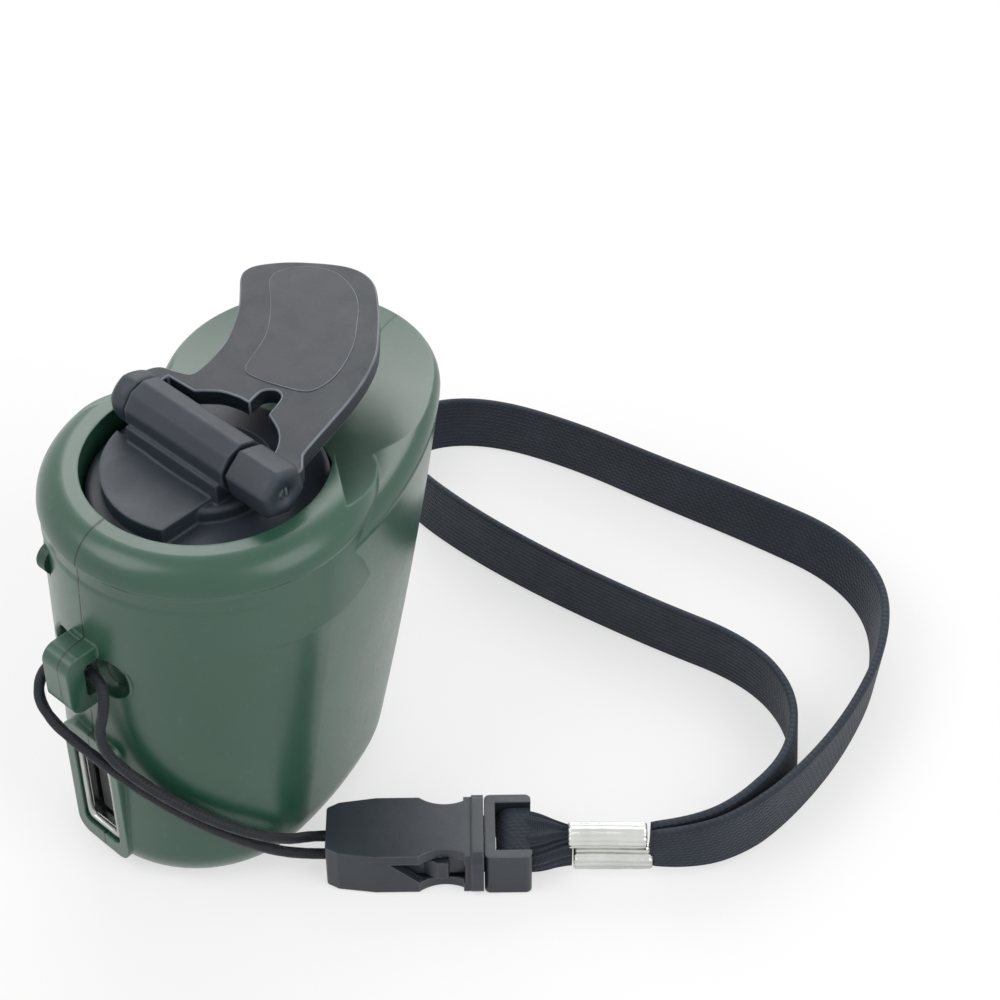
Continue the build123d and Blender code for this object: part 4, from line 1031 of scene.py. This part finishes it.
@dataclass
class Arm:
    """The folding arm: plate, two knuckles and the inlay of the finger rest.  Plan sizes are millimetres."""

    paint: Paint
    hinge_z: float = 0.0573
    rise: float = 2.5
    top: float = 1.6
    thick: float = 2.4
    left_x: tuple[float, float] = (-14.4, -11.0)
    right_x: tuple[float, float] = (7.4, 14.2)
    left_r: float = 3.4
    right_r: float = 3.45
    pin_r: float = 0.95
    outer_left: tuple = ((-14.1, 0.4), (-14.0, 2.8), (-13.0, 4.6), (-10.8, 5.4), (-9.0, 6.4), (-9.2, 9.1))
    outer_back: tuple = ((-9.2, 9.1), (-10.2, 12.6), (-12.1, 16.0), (-14.4, 19.1), (-16.6, 21.3), (-18.6, 23.3),
                         (-19.2, 24.8), (-18.6, 26.7), (-16.0, 29.7), (-11.9, 32.7), (-9.0, 34.1), (-6.4, 34.3),
                         (-3.9, 33.4), (-0.8, 30.9), (2.0, 28.2), (5.5, 24.3), (7.7, 20.4), (9.3, 16.1), (10.7, 10.8),
                         (12.0, 5.8), (12.7, 4.7), (14.0, 3.2), (14.0, 0.4))
    inner: tuple = ((9.0, 0.4), (9.4, 2.6), (8.4, 4.6), (6.6, 6.2), (3.7, 7.4))
    slot: tuple = ((3.7, 7.4), (2.9, 10.0), (2.2, 10.9), (1.1, 11.0), (0.1, 10.1), (0.0, 9.2), (0.4, 7.3))
    inner_left: tuple = ((-1.2, 7.2), (-3.8, 6.4), (-6.4, 4.3), (-10.95, 4.1), (-11.0, 0.4))
    inlay: tuple = ((-15.8, 26.7), (-15.0, 28.8), (-13.3, 30.6), (-10.9, 31.8), (-8.5, 31.9), (-5.4, 31.0), (-2.7, 29.2),
                    (-0.1, 26.4), (2.4, 23.3), (4.3, 19.6), (5.1, 16.3), (4.4, 13.4), (1.3, 11.9), (-2.3, 10.9),
                    (-4.4, 11.0), (-5.4, 12.6), (-6.5, 15.4), (-8.2, 18.4), (-11.9, 22.3), (-14.9, 24.9))

    def place(self) -> Matrix:
        """Gives the arm's own frame at the hinge.

        Returns:
            Its place in the frame of the model.
        """
        return Matrix.Translation((0, 0, self.hinge_z)) @ Matrix.Rotation(math.radians(self.rise), 4, "X")

    def dress(self, piece: bpy.types.Object, finish: Finish) -> bpy.types.Object:
        """Gives a piece its finish and lets it ride on the arm.

        Args:
            piece: The piece.
            finish: Its finish.

        Returns:
            The same piece.
        """
        piece.data.materials.append(self.paint.material(finish))
        # Second material: the painted edge highlight, used by the bevel faces of the plates.
        piece.data.materials.append(self.paint.material(ARM_EDGE_HIGHLIGHT))
        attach(piece, Body.ARM.value)
        LOG.info("piece %s, %d faces", piece.name, len(piece.data.polygons))
        return piece

    def knuckle(
        self, name: str, stations: list[tuple[float, float]], corner: float, hole: bool
    ) -> bpy.types.Object:
        """Builds a knuckle round the hinge pin.

        Args:
            name: Name of the piece.
            stations: (place along the hinge, radius) of each ring, in millimetres.
            corner: How hexagonal it is, from 0 to 1.
            hole: Whether the pin's hole shows in its last end.

        Returns:
            The knuckle.
        """
        place = self.place()
        rings = []
        for x, r in stations:
            ring = []
            for j in range(72):
                a = math.tau * j / 72
                wedge = (a + math.radians(20)) % (math.pi / 3) - math.pi / 6
                hexed = 1 + corner * (math.cos(math.pi / 6) / math.cos(wedge) - 0.96)
                size = r if r < 1.2 else r * hexed
                ring.append(place @ Vector((x * MM, size * MM * math.cos(a), size * MM * math.sin(a))))
            rings.append(ring)
        if hole:
            for x, r in ((stations[-1][0], self.pin_r), (stations[-1][0] - 0.7, self.pin_r)):
                rings.append([place @ Vector((x * MM, r * MM * math.cos(math.tau * j / 72),
                                              r * MM * math.sin(math.tau * j / 72))) for j in range(72)])
        points, faces = skin(rings)
        piece = mesh_piece(name, points, faces)
        piece.modifiers.new("normals", "WEIGHTED_NORMAL").keep_sharp = True
        return piece

    def build(self) -> None:
        """Builds the arm's plate, knuckles and inlay."""
        outline = (
            flow(list(self.outer_left))[:-1] + flow(list(self.outer_back), 6)
            + flow(list(self.inner))[:-1] + flow(list(self.slot), 4) + flow(list(self.inner_left[:3]), 4)
            + list(self.inner_left[3:])
        )
        place = self.place()
        plate = slab("arm_plate", outline, self.top - self.thick, self.top, place, 0.00022)
        self.dress(plate, ARM_GREY)
        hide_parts("crank_arm")
        closed = list(self.inlay) + [self.inlay[0]]
        inlay = slab("arm_inlay", flow(closed, 5)[:-1], self.top - 0.2, self.top + 0.14, place, 0.00012)
        self.dress(inlay, PAD_GREY)
        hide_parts("arm_pad")
        a, b = self.left_x
        r = self.left_r
        dome = [(a, 0.1), (a, r * 0.42), (a + 0.15, r * 0.66), (a + 0.5, r * 0.85), (a + 1.1, r * 0.97),
                (a + 1.7, r), (b - 0.3, r), (b, r * 0.93), (b, 0.1)]
        self.dress(self.knuckle("arm_knuckle_left", dome, 0.35, False), CRANK_GREY)
        a, b = self.right_x
        r = self.right_r
        block = [(a, 0.95), (a, r * 0.9), (a + 0.35, r), (b - 0.7, r), (b - 0.3, r * 0.96), (b - 0.08, r * 0.9),
                 (b, r * 0.82)]
        self.dress(self.knuckle("arm_knuckle_right", block, 0.85, True), CRANK_GREY)


# ------------------------------------------------------------------ case touches
@dataclass
class CaseTouches:
    """Moulded dimples beside the lug and the metal lip of the port."""

    paint: Paint
    dimple_at: tuple[float, float, float] = (0.0040, -0.0212, 0.0348)
    dimple_r: float = 0.00294
    lip_outer: tuple[float, float] = (0.0034, 0.0071)
    lip_inner: tuple[float, float] = (0.0026, 0.0063)
    lip_y: tuple[float, float] = (-0.0222, -0.0230)
    port_z: float = 0.0124

    def dress(self, piece: bpy.types.Object, finish: Finish) -> None:
        """Gives a piece its finish and lets it ride on the casing.

        Args:
            piece: The piece.
            finish: Its finish.
        """
        piece.data.materials.append(self.paint.material(finish))
        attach(piece, Body.CASING.value)
        LOG.info("piece %s, %d faces", piece.name, len(piece.data.polygons))

    def dimple(self, name: str, side: int) -> None:
        """Closes the bottom of one dimple.

        Args:
            name: Name of the piece.
            side: 1 for +X, -1 for -X.
        """
        x, y, z = self.dimple_at
        rings = []
        for radius in (self.dimple_r, self.dimple_r + 0.0004):
            for k in range(10):
                b = math.radians(4 + 76 * k / 9) if radius == self.dimple_r else math.radians(80 - 76 * k / 9)
                rings.append([
                    Vector((side * x + radius * math.sin(b) * math.cos(math.tau * j / 48),
                            y + radius * math.cos(b),
                            z + radius * math.sin(b) * math.sin(math.tau * j / 48)))
                    for j in range(48)
                ])
        points, faces = skin(rings)
        self.dress(mesh_piece(name, points, faces), CASE_GREEN)

    def lip(self) -> None:
        """Builds the lip of the port's metal shell."""
        def ring(half: tuple[float, float], y: float) -> list[Vector]:
            """Gives one rounded outline of the lip, at a place along Y."""
            out = []
            for j in range(64):
                a = math.tau * j / 64
                c, s = math.cos(a), math.sin(a)
                out.append(Vector((half[0] * math.copysign(abs(c) ** 0.22, c), y,
                                   self.port_z + half[1] * math.copysign(abs(s) ** 0.22, s))))
            return out

        y0, y1 = self.lip_y
        rings = [ring(self.lip_outer, y0), ring(self.lip_outer, y1 + 0.0001), ring(
            (self.lip_outer[0] - 0.0001, self.lip_outer[1] - 0.0001), y1), ring(
            (self.lip_inner[0] + 0.0001, self.lip_inner[1] + 0.0001), y1), ring(self.lip_inner, y1 + 0.0001),
            ring(self.lip_inner, y0)]
        points, faces = skin(rings, closed_ends=False)
        self.dress(mesh_piece("port_lip", points, faces), PORT_METAL)

    def build(self) -> None:
        """Builds every touch."""
        self.dimple("dimple_right", 1)
        self.dimple("dimple_left", -1)
        self.lip()


# ------------------------------------------------------------------ rigid nodes
@dataclass
class Rigid:
    """Finishes of the CAD nodes that show as they are."""

    paint: Paint
    nodes: dict

    def finishes(self) -> dict[str, Finish]:
        """Lists the finish of each node.

        Returns:
            Finish by node name.
        """
        groups = (
            (CASE_GREEN, ("shell_left", "shell_right")),
            (CRANK_GREY, ("crank_hub", "crank_arm", "finger_knob")),
            (PAD_GREY, ("arm_pad",)),
            (SCREW_STEEL, ("case_screws",)),
            (STEEL, ("gearbox_plate_low", "gearbox_plate_top", "gearbox_posts", "gearbox_screws",
                     "idler_1_pin", "idler_2_pin", "crank_shaft", "hinge_pin", "knob_screw", "rotor_shaft")),
            (PORT_METAL, ("usb_shell", "usb_contacts")),
            (CAN_METAL, ("generator_can", "generator_cap", "rotor_core", "capacitor")),
            (GEAR_NYLON, ("drive_gear", "idler_1", "idler_2", "generator_pinion")),
            (BRONZE, ("hub_bearing", "rotor_bushes")),
            (MAGNET, ("generator_magnets",)),
            (BOARD_GREEN, ("circuit_board",)),
            (COMPONENT, ("usb_tongue", "jack_body", "inductor", "regulator", "diodes")),
            (BUCKLE_BLACK, ("buckle_socket", "buckle_plug")),
            (CRIMP_METAL, ("strap_crimp",)),
            (WEBBING_BLACK, ("strap_tail", "wrist_webbing")),
            (CORD_BLACK, ("lanyard_strand_a", "lanyard_strand_b")),
        )
        return {node: finish for finish, members in groups for node in members}

    def build(self) -> None:
        """Gives every node its material."""
        table = self.finishes()
        for name, node in sorted(self.nodes.items()):
            finish = table[name]
            node.data.materials.clear()
            node.data.materials.append(self.paint.material(finish))
            LOG.info("node %s is %s", name, finish.name)


# ------------------------------------------------------------------ main
def corners() -> list[list[float]]:
    """Reads the size of what shows.

    Returns:
        Lowest and highest corner as plain lists.
    """
    return [[float(x) for x in corner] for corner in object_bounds()]


def main() -> None:
    """Builds the scene."""
    logging.basicConfig(level=logging.INFO, format="%(message)s")
    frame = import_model()
    paint = Paint()
    Studio().build()
    Lanyard(paint, frame["nodes"]).build()
    Arm(paint).build()
    CaseTouches(paint).build()
    Rigid(paint, frame["nodes"]).build()


if __name__ == "__main__":
    main()
